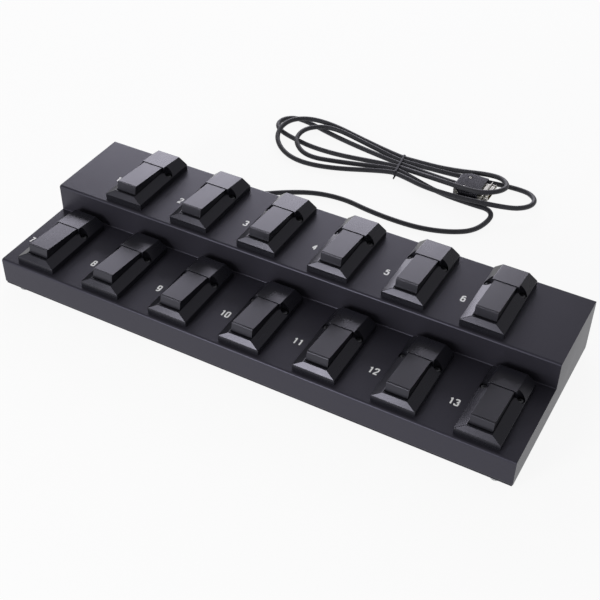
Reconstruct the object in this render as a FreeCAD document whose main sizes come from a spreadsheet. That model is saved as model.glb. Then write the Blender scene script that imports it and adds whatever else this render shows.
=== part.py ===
import FreeCAD, Part
import Sketcher
import math
import os
from types import SimpleNamespace

from FreeCAD import Placement, Rotation, Vector

# Foot pedal switch: a stepped sheet-metal box with thirteen moulded keys and a bound cable.
# Millimetres. X runs along the box, the keys point to -Y, Z is up and the floor is at zero.

DIMS = {
    "key_width": 48.8,
    "key_length": 97.6,
    "key_gap": 40,
    "end_gap": 19.2,
    "key_setback": 6.3,
    "heel_gap": 8.1,
    "foot_height": 5,
    "foot_radius": 6.5,
    "foot_inset_x": 20,
    "foot_inset_y": 9,
    "base_gauge": 1.2,
    "base_inset": 0.8,
    "sheet_gauge": 1.5,
    "bend_radius": 2.5,
    "flange_width": 12,
    "lower_tread": 39.5,
    "upper_tread": 73,
    "skirt_height": 6.9,
    "rim_half": 13.6,
    "rim_setback": 3.9,
    "rim_height": 13,
    "block_half": 14.8,
    "block_height": 19.2,
    "block_front": 62.6,
    "heel_setback": 95.7,
    "heel_height": 15.5,
    "skin": 2.2,
    "well_half": 12.9,
    "well_front": 6.2,
    "well_rear": 63.1,
    "well_floor": 2,
    "well_wall": 2,
    "lever_half": 12.4,
    "lever_chin": 7.75,
    "lever_nose": 9.6,
    "lever_rear": 62.7,
    "nose_height": 22.9,
    "lever_rear_height": 18.5,
    "lever_keel": 9.5,
    "lever_wall": 1.8,
    "lever_top": 2.2,
    "groove_setback": 2,
    "groove_depth": 0.4,
    "groove_width": 0.8,
    "axis_setback": 60,
    "axis_height": 10.4,
    "stub_radius": 1.8,
    "stub_reach": 14.5,
    "bearing_radius": 1.85,
    "stop_height": 4.4,
    "dome_setback": 24,
    "pusher_radius": 2.5,
    "pusher_height": 12,
    "board_front": 14,
    "board_length": 20,
    "board_half": 12,
    "board_gauge": 1.6,
    "dome_radius": 9,
    "dome_height": 8.1,
    "dome_skin": 0.8,
    "tower_x": 19.2,
    "tower_setback": 65.5,
    "tower_radius": 5.8,
    "screw_seat": 5.6,
    "screw_pocket": 4.6,
    "screw_head_radius": 3.15,
    "screw_head_height": 2.4,
    "screw_radius": 1.5,
    "screw_play": 0.05,
    "key_screw_grip": 6,
    "wire_setback": 40,
    "wire_hole_radius": 3,
    "base_screw_end_gap": 60,
    "base_screw_head": 2.8,
    "base_screw_head_height": 1.6,
    "base_screw_grip": 7,
    "gland_end_gap": 145,
    "gland_height": 22,
    "gland_radius": 10,
    "gland_flange": 4,
    "gland_cap": 8,
    "gland_sleeve": 16,
    "gland_thread_radius": 6,
    "gland_thread": 10,
    "nut_height": 4,
    "cord_radius": 3.2,
    "hood_left": 67.5,
    "hood_length": 35,
    "hood_width": 41,
    "hood_height": 15.5,
    "hood_skin": 2.2,
    "hood_taper": 11,
    "hood_shoulder": 6.3,
    "cord_grip": 14,
    "plug_y": 328.5,
    "clamp_inset": 13,
    "clamp_reach": 11.1,
    "clamp_radius": 1.25,
    "shell_back": 6,
    "shell_reach": 6,
    "flange_gauge": 0.8,
    "flange_margin": 1,
    "jack_pitch": 33.3,
    "jack_radius": 1.5,
    "jack_inset": 3,
    "jack_head": 4,
    "jack_nut_radius": 2.8,
    "jack_nut": 5,
    "jack_tip": 1,
    "pin_radius": 0.5,
    "pin_pitch": 2.6,
    "pin_row": 1.42,
    "pin_reach": 4.5,
    "pin_cup_radius": 0.8,
    "pin_cup_length": 2.2,
    "insert_seat": 6,
    "hank_x": -17,
    "hank_y": 334,
    "hank_pitch": 7.7,
    "tie_width": 3,
    "tie_gauge": 0.7,
}

doc = FreeCAD.newDocument("foot_pedal_switch")
sheet = doc.addObject("Spreadsheet::Sheet", "dims")
for row, (alias, number) in enumerate(DIMS.items(), start=1):
    sheet.set(f"A{row}", alias)
    sheet.set(f"B{row}", str(number))
    sheet.setAlias(f"B{row}", alias)
doc.recompute()


# Lengths that carry their formula

class Size:
    """A length: its number, and the sheet formula that gives it."""

    def __init__(self, number, formula=None):
        self.number = float(number)
        self.formula = formula or repr(float(number))

    def __add__(self, other):
        other = as_size(other)
        return Size(self.number + other.number, f"({self.formula} + {other.formula})")

    def __sub__(self, other):
        other = as_size(other)
        return Size(self.number - other.number, f"({self.formula} - {other.formula})")

    def __mul__(self, other):
        other = as_size(other)
        return Size(self.number * other.number, f"({self.formula} * {other.formula})")

    def __truediv__(self, other):
        other = as_size(other)
        return Size(self.number / other.number, f"({self.formula} / {other.formula})")

    def __neg__(self):
        return Size(-self.number, f"(0 - {self.formula})")

    def __radd__(self, other):
        return as_size(other) + self

    def __rsub__(self, other):
        return as_size(other) - self

    def __rmul__(self, other):
        return as_size(other) * self


def as_size(value):
    return value if isinstance(value, Size) else Size(value)


d = SimpleNamespace(**{alias: Size(number, f"dims.{alias}") for alias, number in DIMS.items()})
key_pitch = d.key_width + d.key_gap
chassis_length = key_pitch * 6 + d.key_width + d.end_gap * 2
tread_depth = d.key_setback + d.key_length + d.heel_gap

TURNS = {
    "X": Rotation(Vector(0, 1, 0), 90),
    "Y": Rotation(Vector(1, 0, 0), -90),
    "Z": Rotation(),
}
SKETCH_TURNS = {
    "X": Rotation(Vector(1, 1, 1), 120),
    "Y": Rotation(Vector(1, 0, 0), 90),
    "Z": Rotation(),
}
parts = []


# Features bound to the sheet

def bind(feature, prop, value):
    value = as_size(value)
    setattr(feature, prop, value.number)
    feature.setExpression(prop, value.formula)


def put(feature, at, turn=None):
    at = [as_size(value) for value in at]
    feature.Placement = Placement(Vector(*[value.number for value in at]), turn or Rotation())
    for axis, value in zip("xyz", at):
        feature.setExpression(f"Placement.Base.{axis}", value.formula)
    return feature


def box(name, low, high):
    feature = doc.addObject("Part::Box", name)
    for prop, start, end in zip(("Length", "Width", "Height"), low, high):
        bind(feature, prop, as_size(end) - start)
    return put(feature, low)


def rod(name, radius, length, at, axis="Z"):
    feature = doc.addObject("Part::Cylinder", name)
    bind(feature, "Radius", radius)
    bind(feature, "Height", length)
    return put(feature, at, TURNS[axis])


def cone(name, radius, end_radius, length, at, axis="Z"):
    feature = doc.addObject("Part::Cone", name)
    bind(feature, "Radius1", radius)
    bind(feature, "Radius2", end_radius)
    bind(feature, "Height", length)
    return put(feature, at, TURNS[axis])


def fuse(name, shapes):
    feature = doc.addObject("Part::MultiFuse", name)
    feature.Shapes = shapes
    return feature


def common(name, base, tool):
    feature = doc.addObject("Part::Common", name)
    feature.Base = base
    feature.Tool = tool
    return feature


def cut(name, base, tools):
    feature = doc.addObject("Part::Cut", name)
    feature.Base = base
    feature.Tool = tools[0] if len(tools) == 1 else fuse(f"{name}_tools", tools)
    return feature


def outline(name, points, at, axis, owner=doc):
    """Closed sketch; X puts the points on Y and Z, Y on X and Z, Z on X and Y."""
    make = owner.addObject if owner is doc else owner.newObject
    sketch = make("Sketcher::SketchObject", name)
    points = [[as_size(value) for value in point] for point in points]
    flat = [Vector(u.number, v.number, 0) for u, v in points]
    for start, end in zip(flat, flat[1:] + flat[:1]):
        sketch.addGeometry(Part.LineSegment(start, end))
    for side in range(len(points)):
        sketch.addConstraint(Sketcher.Constraint("Coincident", side, 2, (side + 1) % len(points), 1))
    for side, (u, v) in enumerate(points):
        for kind, value in (("DistanceX", u), ("DistanceY", v)):
            index = sketch.addConstraint(Sketcher.Constraint(kind, -1, 1, side, 1, value.number))
            sketch.setExpression(f"Constraints[{index}]", value.formula)
    return put(sketch, at, SKETCH_TURNS[axis])


def extrude(name, points, at, length, axis):
    feature = doc.addObject("Part::Extrusion", name)
    feature.Base = outline(f"{name}_outline", points, at, axis)
    feature.DirMode = "Normal"
    feature.Solid = True
    bind(feature, "LengthFwd", length)
    return feature


def folded(name, points, start_x, length, bends):
    """Body padded along X, rounded along the corners in bends: a list of (points, radius)."""
    body = doc.addObject("PartDesign::Body", name)
    sketch = outline(f"{name}_profile", points, (start_x, 0, 0), "X", body)
    tip = body.newObject("PartDesign::Pad", f"{name}_pad")
    tip.Profile = sketch
    bind(tip, "Length", length)
    doc.recompute()
    for count, (corners, radius) in enumerate(bends):
        spots = [(as_size(y).number, as_size(z).number) for y, z in corners]
        edges = []
        for index, edge in enumerate(tip.Shape.Edges, start=1):
            first, last = (edge.valueAt(end) for end in (edge.FirstParameter, edge.LastParameter))
            along_x = abs(first.y - last.y) + abs(first.z - last.z) < 1e-6
            if along_x and any(math.hypot(first.y - y, first.z - z) < 1e-4 for y, z in spots):
                edges.append(f"Edge{index}")
        fillet = body.newObject("PartDesign::Fillet", f"{name}_bends_{count}")
        fillet.Base = (tip, edges)
        bind(fillet, "Radius", radius)
        doc.recompute()
        tip = fillet
    return body


def part(feature, label):
    feature.Label = label
    parts.append(feature)
    return feature


def placed(label, master, at):
    """A copy of a master shape, put in place by the sheet."""
    feature = doc.addObject("Part::Feature", label)
    feature.Shape = master.Shape
    put(feature, at)
    return part(feature, label)


def solid(label, shape):
    feature = doc.addObject("Part::Feature", label)
    feature.Shape = shape
    return part(feature, label)


# Where the keys stand: keys 1 to 6 on the upper tread, 7 to 13 on the lower

front_y = -tread_depth
keys = []
for number in range(1, 14):
    if number < 7:
        keys.append((number, key_pitch * (number - 3.5), d.key_setback, d.upper_tread))
    else:
        keys.append((number, key_pitch * (number - 10), front_y + d.key_setback, d.lower_tread))

# Key housing, made once with its front edge at the origin

half = d.key_width / 2


def section(name, setback, half_width, shoulder, top_half, top):
    points = [(-half_width, 0), (half_width, 0), (half_width, shoulder), (top_half, top),
              (-top_half, top), (-half_width, shoulder)]
    return outline(name, points, (0, setback, 0), "Y")


def slope_loft(name, stations):
    feature = doc.addObject("Part::Loft", name)
    feature.Sections = [section(f"{name}_{count}", *station) for count, station in enumerate(stations)]
    feature.Solid = True
    feature.Ruled = True
    return feature


def rise(start, end, setback):
    """Value at a setback on the line through two (setback, value) pairs."""
    return start[1] + (end[1] - start[1]) * (setback - start[0]) / (end[0] - start[0])


brow = (d.block_front, d.block_height)
heel = (d.heel_setback, d.heel_height)
outer = fuse("housing_outer", [
    slope_loft("rim_part", [
        (Size(0), half, d.skirt_height, d.rim_half, d.rim_height),
        (d.block_front, half, d.skirt_height, d.rim_half, d.rim_height),
    ]),
    slope_loft("block_part", [
        (d.block_front, half, d.skirt_height, d.block_half, d.block_height),
        (d.key_length, half, d.skirt_height, d.block_half, rise(brow, heel, d.key_length)),
    ]),
])
slope_run = 1.6
rim_gain = d.rim_height - d.skirt_height
heel_gain = d.heel_height - d.skirt_height
front_slope = extrude("front_slope", [
    (-5, d.skirt_height),
    (0, d.skirt_height),
    (d.rim_setback * slope_run, d.skirt_height + rim_gain * slope_run),
    (-5, d.skirt_height + rim_gain * slope_run),
], (-(half + 1), 0, 0), d.key_width + 2, "X")
heel_slope = extrude("heel_slope", [
    (d.key_length, d.skirt_height),
    (d.key_length + 5, d.skirt_height),
    (d.key_length + 5, d.skirt_height + heel_gain * slope_run),
    (d.key_length - (d.key_length - d.heel_setback) * slope_run, d.skirt_height + heel_gain * slope_run),
], (-(half + 1), 0, 0), d.key_width + 2, "X")
housing_block = cut("housing_block", outer, [front_slope, heel_slope])

inner_half = half - d.skin
inner_shoulder = d.skirt_height - d.skin / 2
hollow_end = d.heel_setback - d.skin
side_skin = d.skin / 2
step = d.block_front + d.skin
rim_hollow = slope_loft("rim_hollow", [
    (d.well_front, inner_half, inner_shoulder, d.rim_half - side_skin, d.rim_height - d.skin),
    (step, inner_half, inner_shoulder, d.rim_half - side_skin, d.rim_height - d.skin),
])
block_hollow = slope_loft("block_hollow", [
    (step, inner_half, inner_shoulder, d.block_half - side_skin, rise(brow, heel, step) - d.skin),
    (hollow_end, inner_half, inner_shoulder, d.block_half - side_skin, rise(brow, heel, hollow_end) - d.skin),
])
housing_shell = cut("housing_shell", housing_block, [rim_hollow, block_hollow])

wall_half = d.well_half + d.well_wall
cores = [box("well_core", (-wall_half, d.rim_setback, 0),
             (wall_half, d.well_rear + d.well_wall, d.block_height))]
tower_sides = (-d.tower_x, d.tower_x)
for count, x in enumerate(tower_sides):
    cores.append(rod(f"tower_{count}", d.tower_radius, d.block_height, (x, d.tower_setback, 0)))
housing_cores = common("housing_cores", fuse("core_pieces", cores), outer)
openings = [
    box("well", (-d.well_half, d.well_front, d.well_floor), (d.well_half, d.well_rear, d.nose_height)),
    rod("bearings", d.bearing_radius, wall_half * 2 + 0.4,
        (-wall_half - 0.2, d.axis_setback, d.axis_height), "X"),
    rod("floor_hole", d.wire_hole_radius, d.well_floor + 2, (0, d.wire_setback, -1)),
]
for count, x in enumerate(tower_sides):
    openings.append(rod(f"pocket_{count}", d.screw_pocket, d.block_height,
                        (x, d.tower_setback, d.screw_seat)))
    openings.append(rod(f"screw_way_{count}", d.screw_radius + d.screw_play, d.block_height,
                        (x, d.tower_setback, -1)))
housing_open = cut("housing_open", fuse("housing_full", [housing_shell, housing_cores]), openings)
stop_inner = d.well_half - 3
stops = []
for count, x in enumerate((-(d.well_half + 0.5), stop_inner)):
    stops.append(box(f"stop_{count}", (x, d.lever_nose, d.well_floor - 0.5),
                     (x + 3.5, d.lever_nose + 2.5, d.stop_height)))
housing = fuse("housing_master", [housing_open] + stops)

# Key lever, in the same place

top_line = ((d.lever_nose, d.nose_height), (d.lever_rear, d.lever_rear_height))
lever_blank = extrude("lever_blank", [
    (d.lever_chin, d.lever_keel),
    (d.lever_rear, d.lever_keel),
    (d.lever_rear, d.lever_rear_height),
    (d.lever_nose, d.nose_height),
    (d.lever_chin, d.nose_height - 10),
], (-d.lever_half, 0, 0), d.lever_half * 2, "X")
hollow_front = d.lever_nose + d.lever_wall
hollow_rear = d.axis_setback - 4
hollow_half = d.lever_half - d.lever_wall
lever_hollow = extrude("lever_hollow", [
    (hollow_front, d.lever_keel - 1),
    (hollow_rear, d.lever_keel - 1),
    (hollow_rear, rise(*top_line, hollow_rear) - d.lever_top),
    (hollow_front, rise(*top_line, hollow_front) - d.lever_top),
], (-hollow_half, 0, 0), hollow_half * 2, "X")
groove_start = d.lever_nose + d.groove_setback
groove = box("groove", (-d.lever_half - 1, groove_start, rise(*top_line, groove_start) - d.groove_depth),
             (d.lever_half + 1, groove_start + d.groove_width, d.nose_height + 1))
lever_pieces = [
    cut("lever_cup", lever_blank, [lever_hollow, groove]),
    rod("pusher", d.pusher_radius, d.lever_rear_height - d.pusher_height + 1,
        (0, d.dome_setback, d.pusher_height)),
    rod("stubs", d.stub_radius, d.stub_reach * 2, (-d.stub_reach, d.axis_setback, d.axis_height), "X"),
]
for count, setback in enumerate((36, 47)):
    lever_pieces.append(box(f"lever_rib_{count}", (-hollow_half - 0.5, setback, d.axis_height),
                            (hollow_half + 0.5, setback + 1.2, d.lever_rear_height)))
lever = fuse("lever_master", lever_pieces)

# Return dome, open below

board_top = d.well_floor + d.board_gauge
waist_radius = d.dome_radius - 2.5
crown_radius = d.pusher_radius + 1.5
dome_steps = [
    rod("dome_foot", d.dome_radius, 1.2, (0, d.dome_setback, board_top)),
    cone("dome_wall", d.dome_radius - 1.5, waist_radius - 1, d.dome_height - 2.6,
         (0, d.dome_setback, board_top)),
    rod("dome_crown", crown_radius, d.dome_height, (0, d.dome_setback, board_top)),
]
dome_inside = cone("dome_inside", d.dome_radius - 1.5 - d.dome_skin, waist_radius - 1 - d.dome_skin,
                   d.dome_height - 2.6 - d.dome_skin, (0, d.dome_setback, board_top))
dome_mouth = rod("dome_mouth", d.dome_radius - 1.5 - d.dome_skin, 0.6, (0, d.dome_setback, board_top - 0.3))
dome = cut("dome_master", fuse("dome_steps", dome_steps), [dome_inside, dome_mouth])
doc.recompute()

for number, x, y, z in keys:
    placed(f"pedal_housing_{number}", housing, (x, y, z))
    placed(f"pedal_lever_{number}", lever, (x, y, z))
    placed(f"contact_dome_{number}", dome, (x, y, z))

# Contact boards and key screws

boards = []
screws = []
for number, x, y, z in keys:
    boards.append(box(f"board_{number}", (x - d.board_half, y + d.board_front, z + d.well_floor),
                      (x + d.board_half, y + d.board_front + d.board_length, z + board_top)))
    for side, offset in zip("ab", tower_sides):
        screws.append(rod(f"key_screw_head_{number}{side}", d.screw_head_radius, d.screw_head_height,
                          (x + offset, y + d.tower_setback, z + d.screw_seat)))
        screws.append(rod(f"key_screw_shank_{number}{side}", d.screw_radius,
                          d.screw_seat + d.key_screw_grip + 1,
                          (x + offset, y + d.tower_setback, z - d.key_screw_grip)))
part(fuse("boards", boards), "contact_boards")
part(fuse("key_screws", screws), "housing_screws")

# Deck, folded from one sheet

gauge = d.sheet_gauge
deep = tread_depth
flange_z = d.foot_height + d.base_gauge
low = d.lower_tread
high = d.upper_tread
span = chassis_length - gauge * 2
deck_points = [
    (-deep + d.flange_width, flange_z), (-deep, flange_z), (-deep, low), (0, low), (0, high),
    (deep, high), (deep, flange_z), (deep - d.flange_width, flange_z),
    (deep - d.flange_width, flange_z + gauge), (deep - gauge, flange_z + gauge),
    (deep - gauge, high - gauge), (gauge, high - gauge), (gauge, low - gauge),
    (-deep + gauge, low - gauge), (-deep + gauge, flange_z + gauge),
    (-deep + d.flange_width, flange_z + gauge),
]
wide_bends = [deck_points[index] for index in (1, 2, 4, 5, 6, 12)]
tight_bends = [deck_points[index] for index in (3, 9, 10, 11, 13, 14)]
deck_sheet = folded("deck_sheet", deck_points, -(span / 2), span,
                    [(wide_bends, d.bend_radius), (tight_bends, d.bend_radius - gauge)])

base_screw_pitch = (chassis_length - d.base_screw_end_gap * 2) / 4
base_screw_spots = []
for column in range(-2, 3):
    for side in (-1, 1):
        base_screw_spots.append((base_screw_pitch * column, (deep - d.flange_width / 2) * side))
hole_radius = d.screw_radius + d.screw_play
holes = []
for number, x, y, z in keys:
    holes.append(rod(f"deck_wire_hole_{number}", d.wire_hole_radius + 1, gauge + 2,
                     (x, y + d.wire_setback, z - gauge - 1)))
    for side, offset in zip("ab", tower_sides):
        holes.append(rod(f"deck_screw_hole_{number}{side}", hole_radius, gauge + 2,
                         (x + offset, y + d.tower_setback, z - gauge - 1)))
for count, (x, y) in enumerate(base_screw_spots):
    holes.append(rod(f"flange_hole_{count}", hole_radius, gauge + 2, (x, y, flange_z - 1)))
gland_x = d.gland_end_gap - chassis_length / 2
holes.append(rod("gland_hole", d.gland_thread_radius + d.screw_play, gauge + 2,
                 (gland_x, deep - gauge - 1, d.gland_height), "Y"))
part(cut("deck", deck_sheet, holes), "deck_shell")

# End plates with tabs inside the deck

cheek_points = [(-deep, flange_z), (deep, flange_z), (deep, high), (0, high), (0, low), (-deep, low)]
tab_reach = 10
for side, label in ((-1, "end_plate_left"), (1, "end_plate_right")):
    plate_start = span / 2 if side > 0 else -(span / 2) - gauge
    plate = folded(f"{label}_sheet", cheek_points, plate_start, gauge,
                   [([cheek_points[index] for index in (0, 1, 2, 3, 5)], d.bend_radius),
                    ([cheek_points[4]], d.bend_radius - gauge)])
    near = span / 2 if side > 0 else -(span / 2)
    left, right = (near - tab_reach, near + gauge / 2) if side > 0 else (near - gauge / 2, near + tab_reach)
    tabs = [
        ("front", (-deep + gauge, flange_z + 5), (-deep + gauge * 2, low - 6)),
        ("low", (-deep + 8, low - gauge * 2), (-6, low - gauge)),
        ("riser", (gauge, low), (gauge * 2, high - 6)),
        ("high", (8, high - gauge * 2), (deep - 8, high - gauge)),
        ("rear", (deep - gauge * 2, flange_z + 8), (deep - gauge, high - 6)),
    ]
    pieces = [plate]
    for name, (y0, z0), (y1, z1) in tabs:
        pieces.append(box(f"{label}_tab_{name}", (left, y0, z0), (right, y1, z1)))
    part(fuse(f"{label}_full", pieces), label)

# Base plate, its screws and the feet

inset = d.base_inset
base_sheet = box("base_sheet", (-(chassis_length / 2) + inset, -deep + inset, d.foot_height),
                 (chassis_length / 2 - inset, deep - inset, flange_z))
base_holes = []
base_screws = []
for count, (x, y) in enumerate(base_screw_spots):
    base_holes.append(rod(f"base_hole_{count}", hole_radius, d.base_gauge + 2, (x, y, d.foot_height - 1)))
    base_screws.append(rod(f"base_head_{count}", d.base_screw_head, d.base_screw_head_height,
                           (x, y, d.foot_height - d.base_screw_head_height)))
    base_screws.append(rod(f"base_shank_{count}", d.screw_radius, d.base_screw_grip,
                           (x, y, d.foot_height - d.base_screw_head_height / 2)))
part(cut("base", base_sheet, base_holes), "base_plate")
part(fuse("base_screw_set", base_screws), "base_screws")

feet = []
for count, (side_x, side_y) in enumerate(((-1, -1), (1, -1), (-1, 1), (1, 1))):
    feet.append(cone(f"foot_{count}", d.foot_radius - 0.4, d.foot_radius, d.foot_height,
                     ((chassis_length / 2 - d.foot_inset_x) * side_x, (deep - d.foot_inset_y) * side_y, 0)))
part(fuse("feet", feet), "rubber_feet")

# Inside loom: one trunk under each tread, a drop to each board, and a tail to the gland

gland_inner = deep - d.gland_thread
trunk_radius = 3
trunks = {}
loom = []
for name, tread, first, last in (("low", low, keys[6], keys[12]), ("high", high, keys[0], keys[5])):
    y = first[2] + d.wire_setback
    z = tread - gauge - trunk_radius - 0.5
    trunks[name] = (y, z)
    loom.append(rod(f"trunk_{name}", trunk_radius, last[1] - first[1] + 8, (first[1] - 4, y, z), "X"))
    loom.append(rod(f"trunk_drop_{name}", trunk_radius - 0.4, z - d.gland_height,
                    (gland_x, y, d.gland_height), "Z"))
loom.append(rod("loom_tail", d.cord_radius, gland_inner + 2 - trunks["low"][0] + 3,
                (gland_x, trunks["low"][0] - 3, d.gland_height), "Y"))
for number, x, y, z in keys:
    trunk_z = trunks["low" if number > 6 else "high"][1]
    wire_y = y + d.wire_setback
    loom.append(rod(f"drop_{number}", 1.2, z + d.well_floor + 1.2 - trunk_z, (x, wire_y, trunk_z)))
    loom.append(box(f"lead_flat_{number}", (x - 2, y + d.board_front + d.board_length, z + d.well_floor + 0.2),
                    (x + 2, wire_y, z + d.well_floor + 1.2)))
part(fuse("loom", loom), "wiring_loom")

# Gland on the rear face

gland_run = d.gland_flange + d.gland_cap + d.gland_sleeve
bore = rod("gland_bore", d.cord_radius + d.screw_play, d.gland_thread + gland_run + 2,
           (gland_x, gland_inner - 1, d.gland_height), "Y")


def along_gland(offset):
    return (gland_x, deep + offset, d.gland_height)


gland_pieces = [
    rod("gland_thread", d.gland_thread_radius, d.gland_thread + 2, along_gland(-d.gland_thread), "Y"),
    rod("gland_flange", d.gland_radius, d.gland_flange, along_gland(0), "Y"),
    rod("gland_cap", d.gland_radius - 1.5, d.gland_cap, along_gland(d.gland_flange), "Y"),
    cone("gland_sleeve", d.gland_thread_radius, d.gland_thread_radius - 1.4, d.gland_sleeve,
         along_gland(d.gland_flange + d.gland_cap), "Y"),
]
part(cut("gland", fuse("gland_pieces", gland_pieces), [bore]), "cable_gland")

nut_blank = doc.addObject("Part::Prism", "nut_blank")
nut_blank.Polygon = 6
bind(nut_blank, "Circumradius", d.gland_radius)
bind(nut_blank, "Height", d.nut_height)
nut_y = deep - gauge - d.nut_height
put(nut_blank, (gland_x, nut_y, d.gland_height), TURNS["Y"])
nut_bore = rod("nut_bore", d.gland_thread_radius + d.screw_play, d.nut_height + 2,
               (gland_x, nut_y - 1, d.gland_height), "Y")
part(cut("nut", nut_blank, [nut_bore]), "gland_nut")

# Cord and hank

rest = d.cord_radius.number
lift = rest + 1.2
gland_line = (gland_x.number, d.gland_height.number)
LEAD_SPLIT = (83, 228.5, rest)
lead_route = [
    (gland_line[0], (gland_inner + 2).number, gland_line[1]),
    (gland_line[0], (deep + gland_run + 8).number, gland_line[1]),
    (-162, 168, 12),
    (-150, 184, rest),
    (-117, 209, rest),
    (-84, 226, rest),
    (-46, 231, rest),
    (-10, 224, rest),
    (30, 221, rest),
    (66, 223, rest),
    LEAD_SPLIT,
]
# Side, strands out and back, tip x, middle y, half width, stretch, then for the way out and the way
# back how far the run's point is and its sideways offset, and the six heights
LOOPS = [
    (-1, 4, 1, -164.5, 326.5, 40.0, 1.24, (0.69, 0.5), (0.44, -1.5), (7.3, 7.7, 11.5, 12.8, 10.5, 6.7)),
    (1, 1, 5, 169.0, 333.0, 31.5, 1.27, (0.54, -4.5), (0.59, -13.0), (3.7, 3.5, 7.5, 11.4, 12.7, 8.3)),
    (-1, 5, 0, -194.5, 328.5, 50.0, 1.27, (0.74, -8.5), (0.59, -1.0), (3.6, 3.2, 8.7, 15.2, 8.9, 3.8)),
    (1, 0, 3, 130.0, 335.0, 32.5, 1.21, (0.53, -3.5), (0.37, -3.5), (4.0, 11.1, 15.2, 21.7, 22.1, 18.5)),
    (-1, 3, 2, -209.0, 350.0, 24.5, 1.33, (0.64, -14.0), (0.39, -6.5), (3.2, 4.4, 4.7, 4.7, 3.5, 3.3)),
]
WAIST_HALF = 8


def strand_y(strand):
    return d.hank_y.number + (2.5 - strand) * d.hank_pitch.number


def waist_pass(strand, side):
    """The two points of a strand that crosses the waist towards a side."""
    middle = d.hank_x.number
    return [(middle - side * WAIST_HALF, strand_y(strand), lift),
            (middle + side * WAIST_HALF, strand_y(strand), lift)]


def hank_loop(side, out, back, tip, middle, radius, stretch, run_out, run_back, heights):
    """Half turn of four points at even angles, with one point on the run before and after it."""
    way = 1 if strand_y(back) > strand_y(out) else -1
    centre = tip - side * radius * stretch
    corner = radius / math.cos(math.pi / 8)
    waist_x = d.hank_x.number + side * WAIST_HALF
    flat = []
    share, offset = run_out
    flat.append((waist_x + (centre - waist_x) * share,
                 strand_y(out) + (middle - way * radius - strand_y(out)) * share + offset))
    for step in range(4):
        angle = math.radians(45 * step - 67.5)
        flat.append((centre + side * corner * math.cos(angle) * stretch,
                     middle + way * corner * math.sin(angle)))
    share, offset = run_back
    flat.append((centre + (waist_x - centre) * share,
                 middle + way * radius + (strand_y(back) - middle - way * radius) * share + offset))
    return [(x, y, z) for (x, y), z in zip(flat, heights)]


hood_entry = d.hood_left.number + 1
plug_z = d.hood_height.number / 2
hank_route = [
    LEAD_SPLIT, (100, 234, rest), (124, 252, rest), (132.5, 286.5, rest), (123, 302, rest),
    (103, 301, rest), (58.5, 303, rest), (23.5, 312, rest + 0.6),
]
hank_route += waist_pass(4, -1)
for loop in LOOPS:
    side, back = loop[0], loop[2]
    hank_route += hank_loop(*loop)
    hank_route += waist_pass(back, -side)
hank_route += [
    (16, 334.5, 5.3), (34.5, 329.5, 7.9),
    (hood_entry - d.cord_grip.number, d.plug_y.number, plug_z), (hood_entry, d.plug_y.number, plug_z),
]


def rounded_path(route, share):
    """Edges along the runs between route points, with a tangent arc at each corner."""
    points = [Vector(*point) for point in route]
    edges = []
    radii = []
    start = points[0]
    for before, corner, after in zip(points, points[1:], points[2:]):
        back = (before - corner).normalize()
        ahead = (after - corner).normalize()
        turn = math.pi - back.getAngle(ahead)
        reach = share * min((before - corner).Length, (after - corner).Length)
        radius = reach / math.tan(turn / 2)
        inward = (back + ahead).normalize()
        middle = corner + inward * (radius / math.cos(turn / 2) - radius)
        edges.append(Part.LineSegment(start, corner + back * reach).toShape())
        edges.append(Part.Arc(corner + back * reach, middle, corner + ahead * reach).toShape())
        start = corner + ahead * reach
        radii.append(radius)
    edges.append(Part.LineSegment(start, points[-1]).toShape())
    return edges, radii


def tube(edges, radius):
    wire = Part.Wire(edges)
    start = edges[0].valueAt(edges[0].FirstParameter)
    ahead = edges[0].tangentAt(edges[0].FirstParameter)
    ring = Part.Wire(Part.Circle(start, ahead, radius).toShape())
    return wire.makePipeShell([ring], True, False)


def least_gap(edges, radius, apart):
    """Smallest surface gap between stretches of the tube that are apart along it."""
    samples = []
    run = 0.0
    for edge in edges:
        count = max(2, int(edge.Length / 2.5))
        for step, point in enumerate(edge.discretize(count + 1)[:-1]):
            samples.append((run + edge.Length * step / count, point))
        run += edge.Length
    least = run
    for index, (length, point) in enumerate(samples):
        for other_length, other in samples[index + 1:]:
            if other_length - length > apart:
                least = min(least, (other - point).Length)
    return least - radius * 2


lead_edges, lead_radii = rounded_path(lead_route, 0.45)
hank_edges, hank_radii = rounded_path(hank_route, 0.48)
print("lead radii", [round(radius, 1) for radius in lead_radii])
print("hank least radius", round(min(hank_radii), 1))
print("hank least gap to itself", round(least_gap(hank_edges, rest, 24), 2))
print("lead length", round(sum(edge.Length for edge in lead_edges), 1),
      "hank length", round(sum(edge.Length for edge in hank_edges), 1))
solid("cord_lead", tube(lead_edges, rest))
solid("cord_hank", tube(hank_edges, rest))

# Twist tie round the waist, with its twisted end

tie_half = d.hank_pitch * 2.5 + d.cord_radius + 0.9
tie_low = 0.75
tie_high = 8.35
tie_outer = box("tie_outer", (-(d.tie_width / 2), -tie_half - d.tie_gauge, tie_low - d.tie_gauge),
                (d.tie_width / 2, tie_half + d.tie_gauge, tie_high + d.tie_gauge))
tie_inner = box("tie_inner", (-d.tie_width, -tie_half, tie_low), (d.tie_width, tie_half, tie_high))
tie_band = cut("tie_band", tie_outer, [tie_inner])
tie_twist = rod("tie_twist", 1.1, 9, (0, -tie_half - 9, 1.6), "Y")
tie = fuse("tie", [tie_band, tie_twist])
put(tie, (d.hank_x, d.hank_y, 0), Rotation(Vector(0, 0, 1), 8))
part(tie, "hank_tie")

# Plug: two hood halves on a fifteen-way shell

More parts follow.
